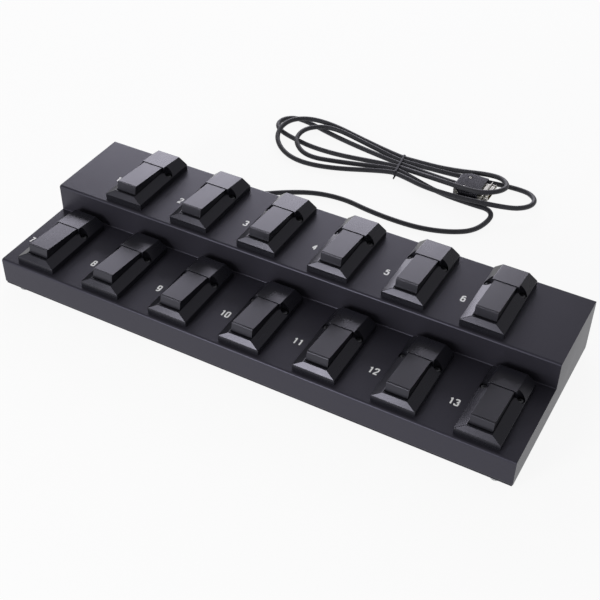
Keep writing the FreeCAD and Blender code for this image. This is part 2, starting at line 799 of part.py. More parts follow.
hood_right = d.hood_left + d.hood_length
hood_near = d.plug_y - d.hood_width / 2
hood_far = d.plug_y + d.hood_width / 2
mid_z = d.hood_height / 2
shell_half = 12.5
skin = d.hood_skin
jack_rows = (("near", d.plug_y - d.jack_pitch / 2), ("far", d.plug_y + d.jack_pitch / 2))
clamp_spots = [(d.hood_left + d.clamp_inset, d.plug_y + side * d.clamp_reach) for side in (-1, 1)]
for label, bottom, top, floor, roof in (
        ("plug_hood_lower", Size(0), mid_z, skin, mid_z + 1),
        ("plug_hood_upper", mid_z, d.hood_height, mid_z - 1, d.hood_height - skin)):
    hood_points = [
        (d.hood_left + d.hood_taper, hood_near), (hood_right, hood_near), (hood_right, hood_far),
        (d.hood_left + d.hood_taper, hood_far), (d.hood_left, hood_far - d.hood_shoulder),
        (d.hood_left, hood_near + d.hood_shoulder),
    ]
    blank = extrude(f"{label}_blank", hood_points, (0, 0, bottom), top - bottom, "Z")
    pockets = [
        box(f"{label}_room", (d.hood_left + skin, d.plug_y - 8.5, floor),
            (hood_right - 6, d.plug_y + 8.5, roof)),
        box(f"{label}_mouth", (hood_right - d.insert_seat - 3, d.plug_y - 11, mid_z - 4.6),
            (hood_right + 1, d.plug_y + 11, mid_z + 4.6)),
        rod(f"{label}_entry", d.cord_radius + d.screw_play, skin + 2,
            (d.hood_left - 1, d.plug_y, mid_z), "X"),
    ]
    for row, y in jack_rows:
        pockets.append(rod(f"{label}_jack_way_{row}", d.jack_radius + d.screw_play, d.hood_length,
                           (d.hood_left + 5, y, mid_z), "X"))
        pockets.append(rod(f"{label}_jack_room_{row}", d.jack_radius + 1.4, d.jack_inset + d.jack_head + 1.5,
                           (d.hood_left - 1, y, mid_z), "X"))
    for count, (x, y) in enumerate(clamp_spots):
        pockets.append(rod(f"{label}_clamp_way_{count}", d.clamp_radius + d.screw_play,
                           d.hood_height + 2, (x, y, -1)))
    part(cut(f"{label}_cut", blank, pockets), label)

clamp_screws = []
for count, (x, y) in enumerate(clamp_spots):
    clamp_screws.append(rod(f"clamp_{count}", d.clamp_radius, d.hood_height - 2.2, (x, y, 1.5)))
part(fuse("clamp_screws", clamp_screws), "hood_screws")

face_x = hood_right + d.shell_back
flange_near = hood_near + d.flange_margin
flange_far = hood_far - d.flange_margin
flange_points = [
    (flange_near, mid_z - 6.2), (flange_far, mid_z - 6.2), (flange_far, mid_z + 6.2), (flange_near, mid_z + 6.2),
]
can_points = [
    (d.plug_y - shell_half - 1, mid_z - 5), (d.plug_y + shell_half + 1, mid_z - 5),
    (d.plug_y + shell_half + 1, mid_z + 5), (d.plug_y - shell_half - 1, mid_z + 5),
]
shell_points = [
    (d.plug_y - shell_half + 1, mid_z - 4.2), (d.plug_y + shell_half - 1, mid_z - 4.2),
    (d.plug_y + shell_half, mid_z + 4.2), (d.plug_y - shell_half, mid_z + 4.2),
]
bore_points = [
    (d.plug_y - shell_half + 1.5, mid_z - 3.7), (d.plug_y + shell_half - 1.5, mid_z - 3.7),
    (d.plug_y + shell_half - 0.5, mid_z + 3.7), (d.plug_y - shell_half + 0.5, mid_z + 3.7),
]
shell_blank = fuse("shell_blank", [
    extrude("shell_can", can_points, (hood_right, 0, 0), d.shell_back, "X"),
    extrude("shell_flange", flange_points, (face_x, 0, 0), d.flange_gauge, "X"),
    extrude("shell_collar", shell_points, (face_x, 0, 0), d.shell_reach, "X"),
])
shell_cuts = [extrude("shell_bore", bore_points, (hood_right - 1, 0, 0), d.shell_back + d.shell_reach + 2, "X")]
for row, y in jack_rows:
    shell_cuts.append(rod(f"shell_jack_way_{row}", d.jack_radius + d.screw_play, d.flange_gauge + 2,
                          (face_x - 1, y, mid_z), "X"))
part(cut("shell", shell_blank, shell_cuts), "plug_shell")

insert_points = [
    (d.plug_y - 10.8, mid_z - 3.6), (d.plug_y + 10.8, mid_z - 3.6),
    (d.plug_y + 10.8, mid_z + 3.6), (d.plug_y - 10.8, mid_z + 3.6),
]
insert_x = hood_right - d.insert_seat
insert_length = d.insert_seat + d.shell_back + 1
insert_block = extrude("insert_block", insert_points, (insert_x, 0, 0), insert_length, "X")
pins = []
pin_ways = []
for row, (count, height) in enumerate(((8, d.pin_row), (7, -d.pin_row))):
    for pin in range(count):
        y = d.plug_y + (pin - (count - 1) / 2) * d.pin_pitch
        z = mid_z + height
        pin_ways.append(rod(f"pin_way_{row}_{pin}", d.pin_radius + d.screw_play, insert_length + 2,
                            (insert_x - 1, y, z), "X"))
        pins.append(rod(f"pin_{row}_{pin}", d.pin_radius, insert_length + d.pin_reach,
                        (insert_x - 1, y, z), "X"))
        pins.append(rod(f"pin_cup_{row}_{pin}", d.pin_cup_radius, d.pin_cup_length,
                        (insert_x - d.screw_play - d.pin_cup_length, y, z), "X"))
part(fuse("insert_and_pins", [cut("insert", insert_block, pin_ways)] + pins), "plug_insert")

jack_x = d.hood_left + d.jack_inset
nut_x = face_x + d.flange_gauge + d.screw_play
for row, y in jack_rows:
    pieces = [
        rod(f"jack_shank_{row}", d.jack_radius, nut_x + d.jack_nut + d.jack_tip - jack_x, (jack_x, y, mid_z), "X"),
        rod(f"jack_head_{row}", d.jack_radius + 1.1, d.jack_head, (jack_x, y, mid_z), "X"),
        rod(f"jack_nut_{row}", d.jack_nut_radius, d.jack_nut, (nut_x, y, mid_z), "X"),
    ]
    part(fuse(f"jack_{row}", pieces), f"jackscrew_{row}")

# Check and write

doc.recompute()
for feature in doc.Objects:
    if "Invalid" in feature.State or "Error" in feature.State:
        raise RuntimeError(f"{feature.Name} failed: {feature.State}")
os.makedirs("parts", exist_ok=True)
for feature in parts:
    shape = feature.Shape
    if shape.isNull() or not shape.isValid() or not shape.Solids:
        raise RuntimeError(f"{feature.Label} has no valid solid")
    shape.exportStep(f"parts/{feature.Label}.step")
print(len(parts), "nodes")
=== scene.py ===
import math

import bmesh
import bpy
from mathutils import Matrix, Vector


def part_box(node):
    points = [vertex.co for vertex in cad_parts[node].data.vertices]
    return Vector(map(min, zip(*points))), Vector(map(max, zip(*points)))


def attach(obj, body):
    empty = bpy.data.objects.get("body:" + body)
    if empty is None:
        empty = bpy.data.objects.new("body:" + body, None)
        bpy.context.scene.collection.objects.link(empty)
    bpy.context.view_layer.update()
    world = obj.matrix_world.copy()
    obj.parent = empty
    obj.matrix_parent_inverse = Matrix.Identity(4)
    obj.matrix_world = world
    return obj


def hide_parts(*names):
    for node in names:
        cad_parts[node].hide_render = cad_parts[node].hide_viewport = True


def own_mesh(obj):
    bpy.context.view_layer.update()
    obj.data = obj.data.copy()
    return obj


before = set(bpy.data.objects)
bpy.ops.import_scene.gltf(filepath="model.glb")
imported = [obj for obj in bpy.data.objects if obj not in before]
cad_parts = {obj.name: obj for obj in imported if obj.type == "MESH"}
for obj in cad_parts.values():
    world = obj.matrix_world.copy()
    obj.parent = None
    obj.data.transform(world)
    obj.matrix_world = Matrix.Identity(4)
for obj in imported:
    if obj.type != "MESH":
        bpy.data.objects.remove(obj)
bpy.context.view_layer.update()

bl_info = {
    "name": "Thirteen-key foot pedal switch",
    "version": (1, 0, 0),
    "blender": (4, 5, 0),
    "location": "3D View > Sidebar > Foot pedal",
    "description": "Builds a stepped metal foot pedal switch with thirteen moulded keys and a bound cable",
    "category": "Object",
}

MM = 0.001
# Points this near are the same, and a cut goes this margin past a surface
NEAR = 0.01 * MM
MARGIN = 1 * MM
KEYS = range(1, 14)
FIRST_FRONT_KEY = 7


# Sizes and colours

def length(name, description, default):
    return bpy.props.FloatProperty(
        name=name, description=description, default=default * MM, min=0.0, unit="LENGTH", precision=5)


def colour(name, description, default):
    return bpy.props.FloatVectorProperty(
        name=name, description=description, default=default, min=0.0, max=1.0, subtype="COLOR", size=3)


class KeySizes(bpy.types.PropertyGroup):
    width: length("Width", "Housing across the board", 48.8)
    length: length("Length", "Housing from its front edge to its heel", 97.6)
    skirt: length("Skirt height", "Upright band round the foot of the housing", 6.9)
    rim_half: length("Rim half width", "Half width of the rim beside the lever", 13.6)
    rim_setback: length("Rim setback", "Run of the front slope", 3.9)
    rim_height: length("Rim height", "Height of the rim beside the lever", 13.0)
    block_half: length("Block half width", "Half width of the fixed rear block", 14.8)
    block_front: length("Block front", "Where the fixed rear block starts", 62.6)
    block_height: length("Block height", "Highest line of the rear block", 19.2)
    heel_setback: length("Heel setback", "Where the block's top meets the heel slope", 95.7)
    heel_height: length("Heel height", "Height of the top at the heel slope", 15.5)
    edge: length("Edge radius", "Rounding of the moulded edges", 0.5)
    nose_edge: length("Nose radius", "Rounding of the lever's front edge", 0.7)
    well_half: length("Well half width", "Half width of the slot for the lever", 12.9)
    well_front: length("Well front", "Start of the slot for the lever", 6.2)
    well_rear: length("Well rear", "End of the slot for the lever", 63.1)
    well_floor: length("Well floor", "Height of the slot's floor", 2.0)
    pocket_x: length("Pocket offset", "Screw pocket from the middle line", 19.2)
    pocket_y: length("Pocket setback", "Screw pocket from the front edge", 65.5)
    pocket_radius: length("Pocket radius", "Radius of the screw pocket", 4.6)
    pocket_floor: length("Pocket floor", "Height of the screw seat", 5.6)
    lever_half: length("Lever half width", "Half width of the moving lever", 12.4)
    lever_chin: length("Lever chin", "Front of the lever at its keel", 7.75)
    chin_height: length("Chin height", "Top of the lever's upright front", 12.9)
    lever_nose: length("Lever nose", "Front of the lever at its top", 9.6)
    lever_rear: length("Lever rear", "Rear end of the lever", 62.7)
    nose_height: length("Nose height", "Top of the lever at its front", 22.9)
    rear_height: length("Rear height", "Top of the lever at its rear", 18.5)
    keel: length("Keel height", "Underside of the lever's walls", 9.5)
    axis_setback: length("Axis setback", "Hinge line from the front edge", 60.0)
    axis_height: length("Axis height", "Hinge line above the tread", 10.4)


class CordSizes(bpy.types.PropertyGroup):
    diameter: length("Diameter", "Outside diameter of the jacket", 6.4)


class Colours(bpy.types.PropertyGroup):
    coat: colour("Powder coat", "Deck, end plates and base", (0.020, 0.019, 0.025))
    housing: colour("Housing plastic", "Key housings", (0.010, 0.010, 0.013))
    lever: colour("Lever plastic", "Moving levers", (0.012, 0.012, 0.015))
    print_white: colour("Print", "Key numbers", (0.96, 0.96, 0.96))
    jacket: colour("Cord jacket", "Jacket of the cord", (0.034, 0.034, 0.042))
    hood: colour("Plug hood", "Moulded plug hood", (0.014, 0.014, 0.019))
    tie: colour("Tie", "Plastic ribbon of the tie", (0.030, 0.030, 0.034))
    rubber: colour("Feet", "Translucent rubber feet", (0.36, 0.37, 0.37))
    steel: colour("Steel", "Plated screws", (0.62, 0.62, 0.60))
    nickel: colour("Nickel", "Plug shell and jackscrews", (0.44, 0.43, 0.40))
    gold: colour("Gold", "Plug pins", (0.85, 0.62, 0.24))
    oxide: colour("Black oxide", "Screws in the housings", (0.10, 0.10, 0.11))
    silicone: colour("Silicone", "Return domes", (0.55, 0.57, 0.56))
    board: colour("Circuit board", "Contact boards", (0.020, 0.095, 0.040))
    sleeve: colour("Loom sleeve", "Wiring inside the box", (0.012, 0.012, 0.014))
    floor: colour("Floor", "Studio floor and backdrop", (0.95, 0.95, 0.95))


class StageSettings(bpy.types.PropertyGroup):
    camera_place: bpy.props.FloatVectorProperty(
        name="Camera place", description="Where the camera stands", subtype="TRANSLATION", unit="LENGTH",
        default=(0.4611, -0.8228, 0.8383))
    camera_turn: bpy.props.FloatVectorProperty(
        name="Camera turn", description="Which way the camera faces", subtype="EULER",
        default=tuple(math.radians(angle) for angle in (49.2671, -0.5758, 28.9204)))
    camera_angle: bpy.props.FloatProperty(
        name="Field of view", description="Angle that the camera takes in", subtype="ANGLE",
        default=math.radians(30))
    sky: bpy.props.FloatProperty(
        name="Sky", description="Strength of the even light from all round", default=0.4, min=0.0)
    mirrored_sky: bpy.props.FloatProperty(
        name="Mirrored sky", description="Strength of the sky in glossy surfaces", default=0.42, min=0.0)
    front_power: bpy.props.FloatProperty(
        name="Front softbox", description="Power of the low lamp in front", default=34.0, min=0.0)
    rear_power: bpy.props.FloatProperty(
        name="Rear softbox", description="Power of the lamp behind", default=53.0, min=0.0)


# Shader expressions

class Channel:
    """A socket that can be used in sums, which add Math nodes."""

    def __init__(self, finish, socket):
        self.finish = finish
        self.socket = socket

    def maths(self, operation, first, second):
        return self.finish.node("ShaderNodeMath", {"operation": operation}, {0: first, 1: second})

    def __add__(self, other):
        return self.maths("ADD", self, other)

    def __sub__(self, other):
        return self.maths("SUBTRACT", self, other)

    def __rsub__(self, other):
        return self.maths("SUBTRACT", other, self)

    def __mul__(self, other):
        return self.maths("MULTIPLY", self, other)

    __radd__ = __add__
    __rmul__ = __mul__


MIX_COLOURS = (6, 7)
MIX_RESULT = 2


class Finish:
    """One material: its node tree and the shader that the channels feed."""

    def __init__(self, name, **constants):
        self.material = bpy.data.materials.new(name)
        self.material.use_nodes = True
        self.tree = self.material.node_tree
        self.shader = self.tree.nodes["Principled BSDF"]
        for socket, value in constants.items():
            self.shader.inputs[socket.replace("_", " ")].default_value = value

    def node(self, kind, settings=None, inputs=None, output=0):
        """One of a node's outputs, after its settings and then its inputs are set."""
        made = self.tree.nodes.new(kind)
        for name, value in (settings or {}).items():
            setattr(made, name, value)
        for name, value in (inputs or {}).items():
            if isinstance(value, Channel):
                self.tree.links.new(value.socket, made.inputs[name])
            else:
                made.inputs[name].default_value = value
        return Channel(self, made.outputs[output])

    def place(self, scale=(1, 1, 1), turn=(0, 0, 0)):
        """Object coordinates, scaled and turned."""
        here = self.node("ShaderNodeTexCoord", output="Object")
        return self.node("ShaderNodeMapping", None, {"Vector": here, "Rotation": turn, "Scale": scale})

    def noise(self, scale, detail=2.0, roughness=0.5, at=None):
        return self.node("ShaderNodeTexNoise", None, {
            "Vector": at or self.place(), "Scale": scale, "Detail": detail, "Roughness": roughness})

    def spread(self, channel, low, high, to_low, to_high):
        """Channel from low to high, read as to_low to to_high."""
        return self.node("ShaderNodeMapRange", None, {
            "Value": channel, "From Min": low, "From Max": high, "To Min": to_low, "To Max": to_high})

    def tint(self, factor, *shades):
        """Mix of two colours."""
        inputs = {"Factor": factor}
        for socket, shade in zip(MIX_COLOURS, shades):
            inputs[socket] = (*shade, 1.0)
        return self.node("ShaderNodeMix", {"data_type": "RGBA"}, inputs, output=MIX_RESULT)

    def mottle(self, cloud, shade, dark, light):
        """Base colour that wavers between two shares of a shade."""
        self.feed("Base Color", self.tint(cloud, brighter(shade, dark), brighter(shade, light)))

    def feed(self, socket, channel):
        self.tree.links.new(channel.socket, self.shader.inputs[socket])

    def relief(self, height, distance, strength=1.0):
        """Bump that feeds the shader's normal."""
        self.feed("Normal", self.node("ShaderNodeBump", None, {
            "Strength": strength, "Distance": distance, "Height": height}))


# Finishes

LAVENDER = (0.78, 0.76, 1.0, 1.0)
PALE_LAVENDER = (0.86, 0.84, 1.0, 1.0)
SLEEVE_SHEEN = (0.03, 0.03, 0.034)


def brighter(shade, share):
    """Shade times a share, at most white."""
    return tuple(min(1.0, part * share) for part in shade)


def powder_coat(name, shade):
    finish = Finish(name, Specular_IOR_Level=0.4, Specular_Tint=LAVENDER)
    grain = finish.noise(1900.0, 1.0)
    peel = finish.noise(620.0, 2.0)
    cloud = finish.noise(7.0, 4.0, 0.6)
    rub = finish.spread(finish.noise(38.0, 5.0, 0.7), 0.52, 0.75, 0.0, 1.0)
    finish.mottle(cloud, shade, 0.86, 1.16)
    finish.feed("Roughness", finish.spread(cloud, 0.3, 0.7, 0.34, 0.38) + grain * 0.05 - rub * 0.02)
    finish.relief(grain * 0.6 + peel * 0.5, 0.00006, 0.6)
    return finish.material


def moulded_plastic(name, shade, roughness, shine=0.5):
    finish = Finish(name, Specular_IOR_Level=shine, Specular_Tint=PALE_LAVENDER)
    spark = finish.noise(2600.0, 1.0)
    flow = finish.noise(30.0, 3.0, 0.6, finish.place((1.0, 0.35, 1.0)))
    scuff = finish.noise(240.0, 3.0, 0.7, finish.place((1.0, 0.08, 1.0), (0.0, 0.0, 0.5)))
    marks = finish.spread(scuff, 0.62, 0.74, 0.0, 1.0)
    finish.mottle(flow, shade, 0.9, 1.14)
    haze = finish.spread(flow, 0.3, 0.7, roughness - 0.03, roughness + 0.03)
    finish.feed("Roughness", haze + marks * 0.04)
    finish.relief(spark * 0.5 + marks * 0.12, 0.00003, 0.35)
    return finish.material


def white_print(name, shade):
    finish = Finish(name)
    speck = finish.noise(1500.0, 2.0)
    finish.feed("Base Color", finish.tint(speck, brighter(shade, 0.93), shade))
    finish.feed("Roughness", finish.spread(speck, 0.0, 1.0, 0.5, 0.62))
    return finish.material


def cord_jacket(name, shade):
    finish = Finish(name, Specular_IOR_Level=0.4)
    skin = finish.noise(900.0, 2.0)
    cloud = finish.noise(45.0, 3.0)
    finish.mottle(cloud, shade, 0.85, 1.2)
    finish.feed("Roughness", finish.spread(cloud, 0.3, 0.7, 0.48, 0.56) + skin * 0.04)
    finish.relief(skin, 0.00005, 0.4)
    return finish.material


def metal(name, shade, roughness):
    finish = Finish(name, Metallic=1.0)
    grain = finish.noise(420.0, 3.0, 0.6, finish.place((0.2, 1.0, 1.0)))
    stain = finish.noise(90.0, 3.0)
    finish.mottle(stain, shade, 0.88, 1.06)
    finish.feed("Roughness", finish.spread(grain, 0.2, 0.8, roughness - 0.05, roughness + 0.07))
    finish.relief(grain, 0.00002, 0.3)
    return finish.material


def soft_rubber(name, shade, transmission):
    finish = Finish(name, Transmission_Weight=transmission, IOR=1.42)
    cloud = finish.noise(160.0, 3.0)
    finish.mottle(cloud, shade, 0.9, 1.08)
    finish.feed("Roughness", finish.spread(cloud, 0.3, 0.7, 0.36, 0.46))
    finish.relief(cloud, 0.00005, 0.3)
    return finish.material


def circuit_board(name, shade):
    finish = Finish(name, Coat_Weight=0.3)
    weave = finish.noise(1300.0, 2.0)
    track = finish.spread(finish.noise(330.0, 0.0), 0.49, 0.51, 0.0, 1.0)
    finish.feed("Base Color", finish.tint(track, shade, brighter(shade, 1.7)))
    finish.feed("Roughness", finish.spread(weave, 0.3, 0.7, 0.3, 0.4))
    finish.relief(track, 0.00003, 0.5)
    return finish.material


def loom_sleeve(name, shade):
    finish = Finish(name)
    weave = finish.noise(800.0, 2.0, 0.5, finish.place((1.0, 0.3, 1.0)))
    finish.feed("Base Color", finish.tint(weave, shade, SLEEVE_SHEEN))
    finish.feed("Roughness", finish.spread(weave, 0.3, 0.7, 0.45, 0.6))
    finish.relief(weave, 0.0001, 0.5)
    return finish.material


def studio_floor(name, shade):
    finish = Finish(name, Roughness=0.9)
    finish.shader.inputs["Base Color"].default_value = (*shade, 1.0)
    rays = finish.node("ShaderNodeLightPath", output="Is Camera Ray")
    mirrored = finish.node("ShaderNodeLightPath", output="Is Glossy Ray")
    white = finish.node("ShaderNodeEmission", None, {"Color": (1.0, 1.0, 1.0, 1.0), "Strength": 1.0})
    matt = Channel(finish, finish.shader.outputs[0])
    seen = finish.node("ShaderNodeMixShader", None, {0: (rays + mirrored) * 0.9, 1: matt, 2: white})
    finish.tree.links.new(seen.socket, finish.tree.nodes["Material Output"].inputs["Surface"])
    return finish.material


# Maker, its colour, and a roughness and shine, or how much light goes through
FINISHES = {
    "powder_coat": (powder_coat, "coat"),
    "housing_plastic": (moulded_plastic, "housing", 0.28, 0.4),
    "lever_plastic": (moulded_plastic, "lever", 0.3),
    "white_print": (white_print, "print_white"),
    "cord_jacket": (cord_jacket, "jacket"),
    "hood_plastic": (moulded_plastic, "hood", 0.17, 0.35),
    "gland_nylon": (moulded_plastic, "housing", 0.45),
    "insert_plastic": (moulded_plastic, "housing", 0.4),
    "tie_ribbon": (moulded_plastic, "tie", 0.55, 0.3),
    "plated_steel": (metal, "steel", 0.32),
    "nickel": (metal, "nickel", 0.17),
    "gold": (metal, "gold", 0.25),
    "black_oxide": (metal, "oxide", 0.36),
    "foot_rubber": (soft_rubber, "rubber", 0.35),
    "silicone": (soft_rubber, "silicone", 0.3),
    "circuit_board": (circuit_board, "board"),
    "loom_sleeve": (loom_sleeve, "sleeve"),
    "studio_floor": (studio_floor, "floor"),
}
made_materials = {}


def material(name):
    """The object's material of that name, made on first use."""
    if name not in made_materials:
        maker, shade, *settings = FINISHES[name]
        made_materials[name] = maker(name, getattr(bpy.context.scene.pedal_colours, shade), *settings)
    return made_materials[name]


# Mesh helpers

def placed(name, data):
    """A new object in the scene."""
    made = bpy.data.objects.new(name, data)
    bpy.context.scene.collection.objects.link(made)
    return made


def stored(name, mesh):
    """The mesh as data for an object."""
    data = bpy.data.meshes.new(name)
    mesh.to_mesh(data)
    mesh.free()
    return data


def evaluated(item):
    """Mesh data of an object with its modifiers or its curve applied."""
    return bpy.data.meshes.new_from_object(item.evaluated_get(bpy.context.evaluated_depsgraph_get()))


def loft(mesh, sections):
    """Closed solid through sections of the same number of points."""
    face = mesh.faces.new([mesh.verts.new(point) for point in sections[0]])
    for section in sections[1:]:
        grown = bmesh.ops.extrude_face_region(mesh, geom=[face])["geom"]
        face = next(item for item in grown if isinstance(item, bmesh.types.BMFace))
        for loop, point in zip(face.loops, section):
            loop.vert.co = point


def block(mesh, low, high):
    """Box between two corners."""
    low, high = Vector(low), Vector(high)
    spot = Matrix.Translation((low + high) / 2) @ Matrix.Diagonal((*(high - low), 1.0))
    return bmesh.ops.create_cube(mesh, size=1.0, matrix=spot)["verts"]


TURNS = {
    "X": Matrix.Rotation(math.radians(90), 4, "Y"),
    "Y": Matrix.Rotation(math.radians(-90), 4, "X"),
    "Z": Matrix.Identity(4),
}


def rod(mesh, radius, reach, start, axis="Z", segments=32):
    """Round bar from its start along an axis."""
    spot = Matrix.Translation(Vector(start)) @ TURNS[axis] @ Matrix.Translation((0, 0, reach / 2))
    return bmesh.ops.create_cone(
        mesh, cap_ends=True, segments=segments, radius1=radius, radius2=radius, depth=reach,
        matrix=spot)["verts"]


def solid(shape, *sizes, **more):
    """A new mesh with one block or rod, to carve with."""
    mesh = bmesh.new()
    shape(mesh, *sizes, **more)
    return mesh


def edges_of(verts):
    return list({edge for vert in verts for edge in vert.link_edges})


def round_edges(mesh, width, segments=3, sharper=30.0, keep=None, edges=None):
    """Bevels the edges that turn by more than an angle."""
    picked = [edge for edge in (edges if edges is not None else mesh.edges)
              if len(edge.link_faces) == 2 and edge.calc_face_angle() > math.radians(sharper)
              and (keep is None or keep(edge))]
    bmesh.ops.bevel(mesh, geom=picked, offset=width, offset_type="OFFSET", segments=segments,
                    profile=0.5, affect="EDGES", material=-1, clamp_overlap=True)


def ring(mesh, points):
    """Points joined by edges into a closed run."""
    verts = [mesh.verts.new(point) for point in points]
    return verts, [mesh.edges.new(pair) for pair in zip(verts, verts[1:] + verts[:1])]


def rounded_ring(mesh, points, corner):
    """Closed run of edges with rounded corners."""
    verts, _ = ring(mesh, points)
    bmesh.ops.bevel(mesh, geom=verts, offset=corner, offset_type="OFFSET", segments=5, profile=0.5,
                    affect="VERTICES", material=-1)


def spun(mesh, outline, centre, axis, segments=32):
    """Ring from a closed outline of radii and heights in millimetres, turned about an axis."""
    turn = TURNS[axis]
    spot = Matrix.Translation(Vector(centre)) @ turn
    verts, edges = ring(mesh, [spot @ Vector((radius * MM, 0, height * MM)) for radius, height in outline])
    bmesh.ops.spin(mesh, geom=verts + edges, cent=Vector(centre), axis=turn @ Vector((0, 0, 1)),
                   angle=math.tau, steps=segments, use_merge=True, use_duplicate=False)


def knurled(verts, centre, across, up, run, share):
    """Draws every other run of a rod's points towards its axis, which the ways across and up cross."""
    def angle(vert):
        return math.atan2(vert.co[up] - centre[up], vert.co[across] - centre[across])

    for count, vert in enumerate(sorted(verts, key=angle)):
        if count // run % 2:
            for way in (across, up):
                vert.co[way] = centre[way] + (vert.co[way] - centre[way]) * share


def carved(mesh, tools, operation="DIFFERENCE"):
    """The mesh with the tools' shapes cut out of it, or joined to it by a union."""
    objects = []
    for shape in (mesh, tools):
        bmesh.ops.recalc_face_normals(shape, faces=shape.faces)
        objects.append(placed("carving", stored("carving", shape)))
    blank, cutter = objects
    modifier = blank.modifiers.new("cut", "BOOLEAN")
    modifier.operation = operation
    modifier.solver = "EXACT"
    modifier.object = cutter
    ready = evaluated(blank)
    result = bmesh.new()
    result.from_mesh(ready)
    for item in objects:
        data = item.data
        bpy.data.objects.remove(item)
        bpy.data.meshes.remove(data)
    bpy.data.meshes.remove(ready)
    return result


SHARP_ANGLE = 32.0
NORMAL_WEIGHT = 80


def piece(name, mesh, finish, body, replaces=(), mend=True):
    """A finished piece that rides on a body of the frame."""
    if mend:
        bmesh.ops.recalc_face_normals(mesh, faces=mesh.faces)
    data = stored(name, mesh)
    data.materials.append(material(finish))
    data.shade_smooth()
    data.set_sharp_from_angle(angle=math.radians(SHARP_ANGLE))
    made = placed(name, data)
    even = made.modifiers.new("even_faces", "WEIGHTED_NORMAL")
    even.keep_sharp = True
    even.weight = NORMAL_WEIGHT
    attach(made, body)
    if replaces:
        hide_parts(*replaces)
    return made


def key_spot(number):
    """Middle of a key's front edge, on its tread."""
    low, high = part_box(f"pedal_housing_{number}")
    return Vector(((low.x + high.x) / 2, low.y, low.z))


# Camera, light and floor

# Place, width and height in metres, and colour
SOFTBOXES = {
    "front": ((-0.68, -2.06, 0.55), 0.60, 1.00, (1.0, 1.0, 1.0)),
    "rear": ((-1.48, 2.67, 0.96), 2.30, 1.42, (0.92, 0.90, 1.0)),
}
SOFTBOX_AIM = Vector((0, 0.05, 0.05))
FLOOR_SIZE = 6.0


class PEDAL_OT_stage(bpy.types.Operator):
    """Camera, lamps, white sky and floor"""
    bl_idname = "pedal.stage"
    bl_label = "Stage"

    def execute(self, context):
        settings = context.scene.pedal_stage
        lens = bpy.data.cameras.new("camera")
        lens.sensor_fit = "HORIZONTAL"
        lens.angle = settings.camera_angle
        lens.clip_start = 0.05
        lens.clip_end = 30.0
        camera = placed("camera", lens)
        camera.location = settings.camera_place
        camera.rotation_euler = settings.camera_turn
        context.scene.camera = camera
        for row, (place, width, height, shade) in SOFTBOXES.items():
            name = f"{row}_softbox"
            lamp = bpy.data.lights.new(name, "AREA")
            lamp.shape = "RECTANGLE"
            lamp.size = width
            lamp.size_y = height
            lamp.energy = getattr(settings, f"{row}_power")
            lamp.color = shade
            holder = placed(name, lamp)
            holder.location = place
            holder.rotation_euler = (SOFTBOX_AIM - Vector(place)).to_track_quat("-Z", "Y").to_euler()
        self.sky(context, settings.sky, settings.mirrored_sky)
        mesh = bmesh.new()
        bmesh.ops.create_grid(mesh, x_segments=2, y_segments=2, size=FLOOR_SIZE)
        floor = placed("floor", stored("floor", mesh))
        floor.data.materials.append(material("studio_floor"))
        context.scene.view_settings.view_transform = "Standard"
        return {"FINISHED"}

    def sky(self, context, strength, mirrored):
        """White to the camera and through clear pieces, softer to matt and glossy surfaces."""
        world = bpy.data.worlds.new("studio")
        world.use_nodes = True
        context.scene.world = world
        tree = world.node_tree
        backdrop = tree.nodes["Background"]
        backdrop.inputs["Color"].default_value = (1.0, 1.0, 1.0, 1.0)
        rays = tree.nodes.new("ShaderNodeLightPath")
        level = None
        for ray, amount in (("Is Diffuse Ray", strength), ("Is Glossy Ray", mirrored)):
            step = tree.nodes.new("ShaderNodeMath")
            step.operation = "MULTIPLY_ADD"
            tree.links.new(rays.outputs[ray], step.inputs[0])
            step.inputs[1].default_value = amount - 1.0
            step.inputs[2].default_value = 1.0
            if level:
                tree.links.new(level.outputs[0], step.inputs[2])
            level = step
        tree.links.new(level.outputs[0], backdrop.inputs["Strength"])


# Cord and its tie

# Points in millimetres from the gland to the tie
LEAD = [
    (-165, 104, 22), (-165, 148, 22), (-162, 168, 12), (-150, 184, 3.2), (-117, 209, 3.2), (-84, 226, 3.2),
    (-46, 231, 3.2), (-10, 224, 3.2), (30, 221, 3.2), (66, 223, 3.2), (100, 234, 3.2), (124, 252, 3.2),
    (132.5, 286.5, 3.2), (123, 302, 3.2), (103, 301, 3.2), (58.5, 303, 3.2), (23.5, 312, 3.8),
]
# Side, strands out and back, tip, middle, half width, stretch, run out, run back, heights. A run has a share
# of the way between the tie and the turn, and a step aside
LOOPS = [
    (-1, 4, 1, -164.5, 326.5, 40.0, 1.24, (0.69, 0.5), (0.44, -1.5), (7.3, 7.7, 11.5, 12.8, 10.5, 6.7)),
    (1, 1, 5, 169.0, 333.0, 31.5, 1.27, (0.54, -4.5), (0.59, -13.0), (3.7, 3.5, 7.5, 11.4, 12.7, 8.3)),
    (-1, 5, 0, -194.5, 328.5, 50.0, 1.27, (0.74, -8.5), (0.59, -1.0), (3.6, 3.2, 8.7, 15.2, 8.9, 3.8)),
    (1, 0, 3, 130.0, 335.0, 32.5, 1.21, (0.53, -3.5), (0.37, -3.5), (4.0, 11.1, 15.2, 21.7, 22.1, 18.5)),
    (-1, 3, 2, -209.0, 350.0, 24.5, 1.33, (0.64, -14.0), (0.39, -6.5), (3.2, 4.4, 4.7, 4.7, 3.5, 3.3)),
]
TO_PLUG = [(16, 334.5, 5.3), (34.5, 329.5, 7.9), (54.5, 328.5, 7.75), (68.5, 328.5, 7.75)]
# Middle of the tie, half the straight stretch through it, and the strands in it
WAIST = (-17.0, 334.0, 4.4)
WAIST_HALF = 8.0
STRAND_PITCH = 7.7
MIDDLE_STRAND = 2.5
CORD_STEPS = 12


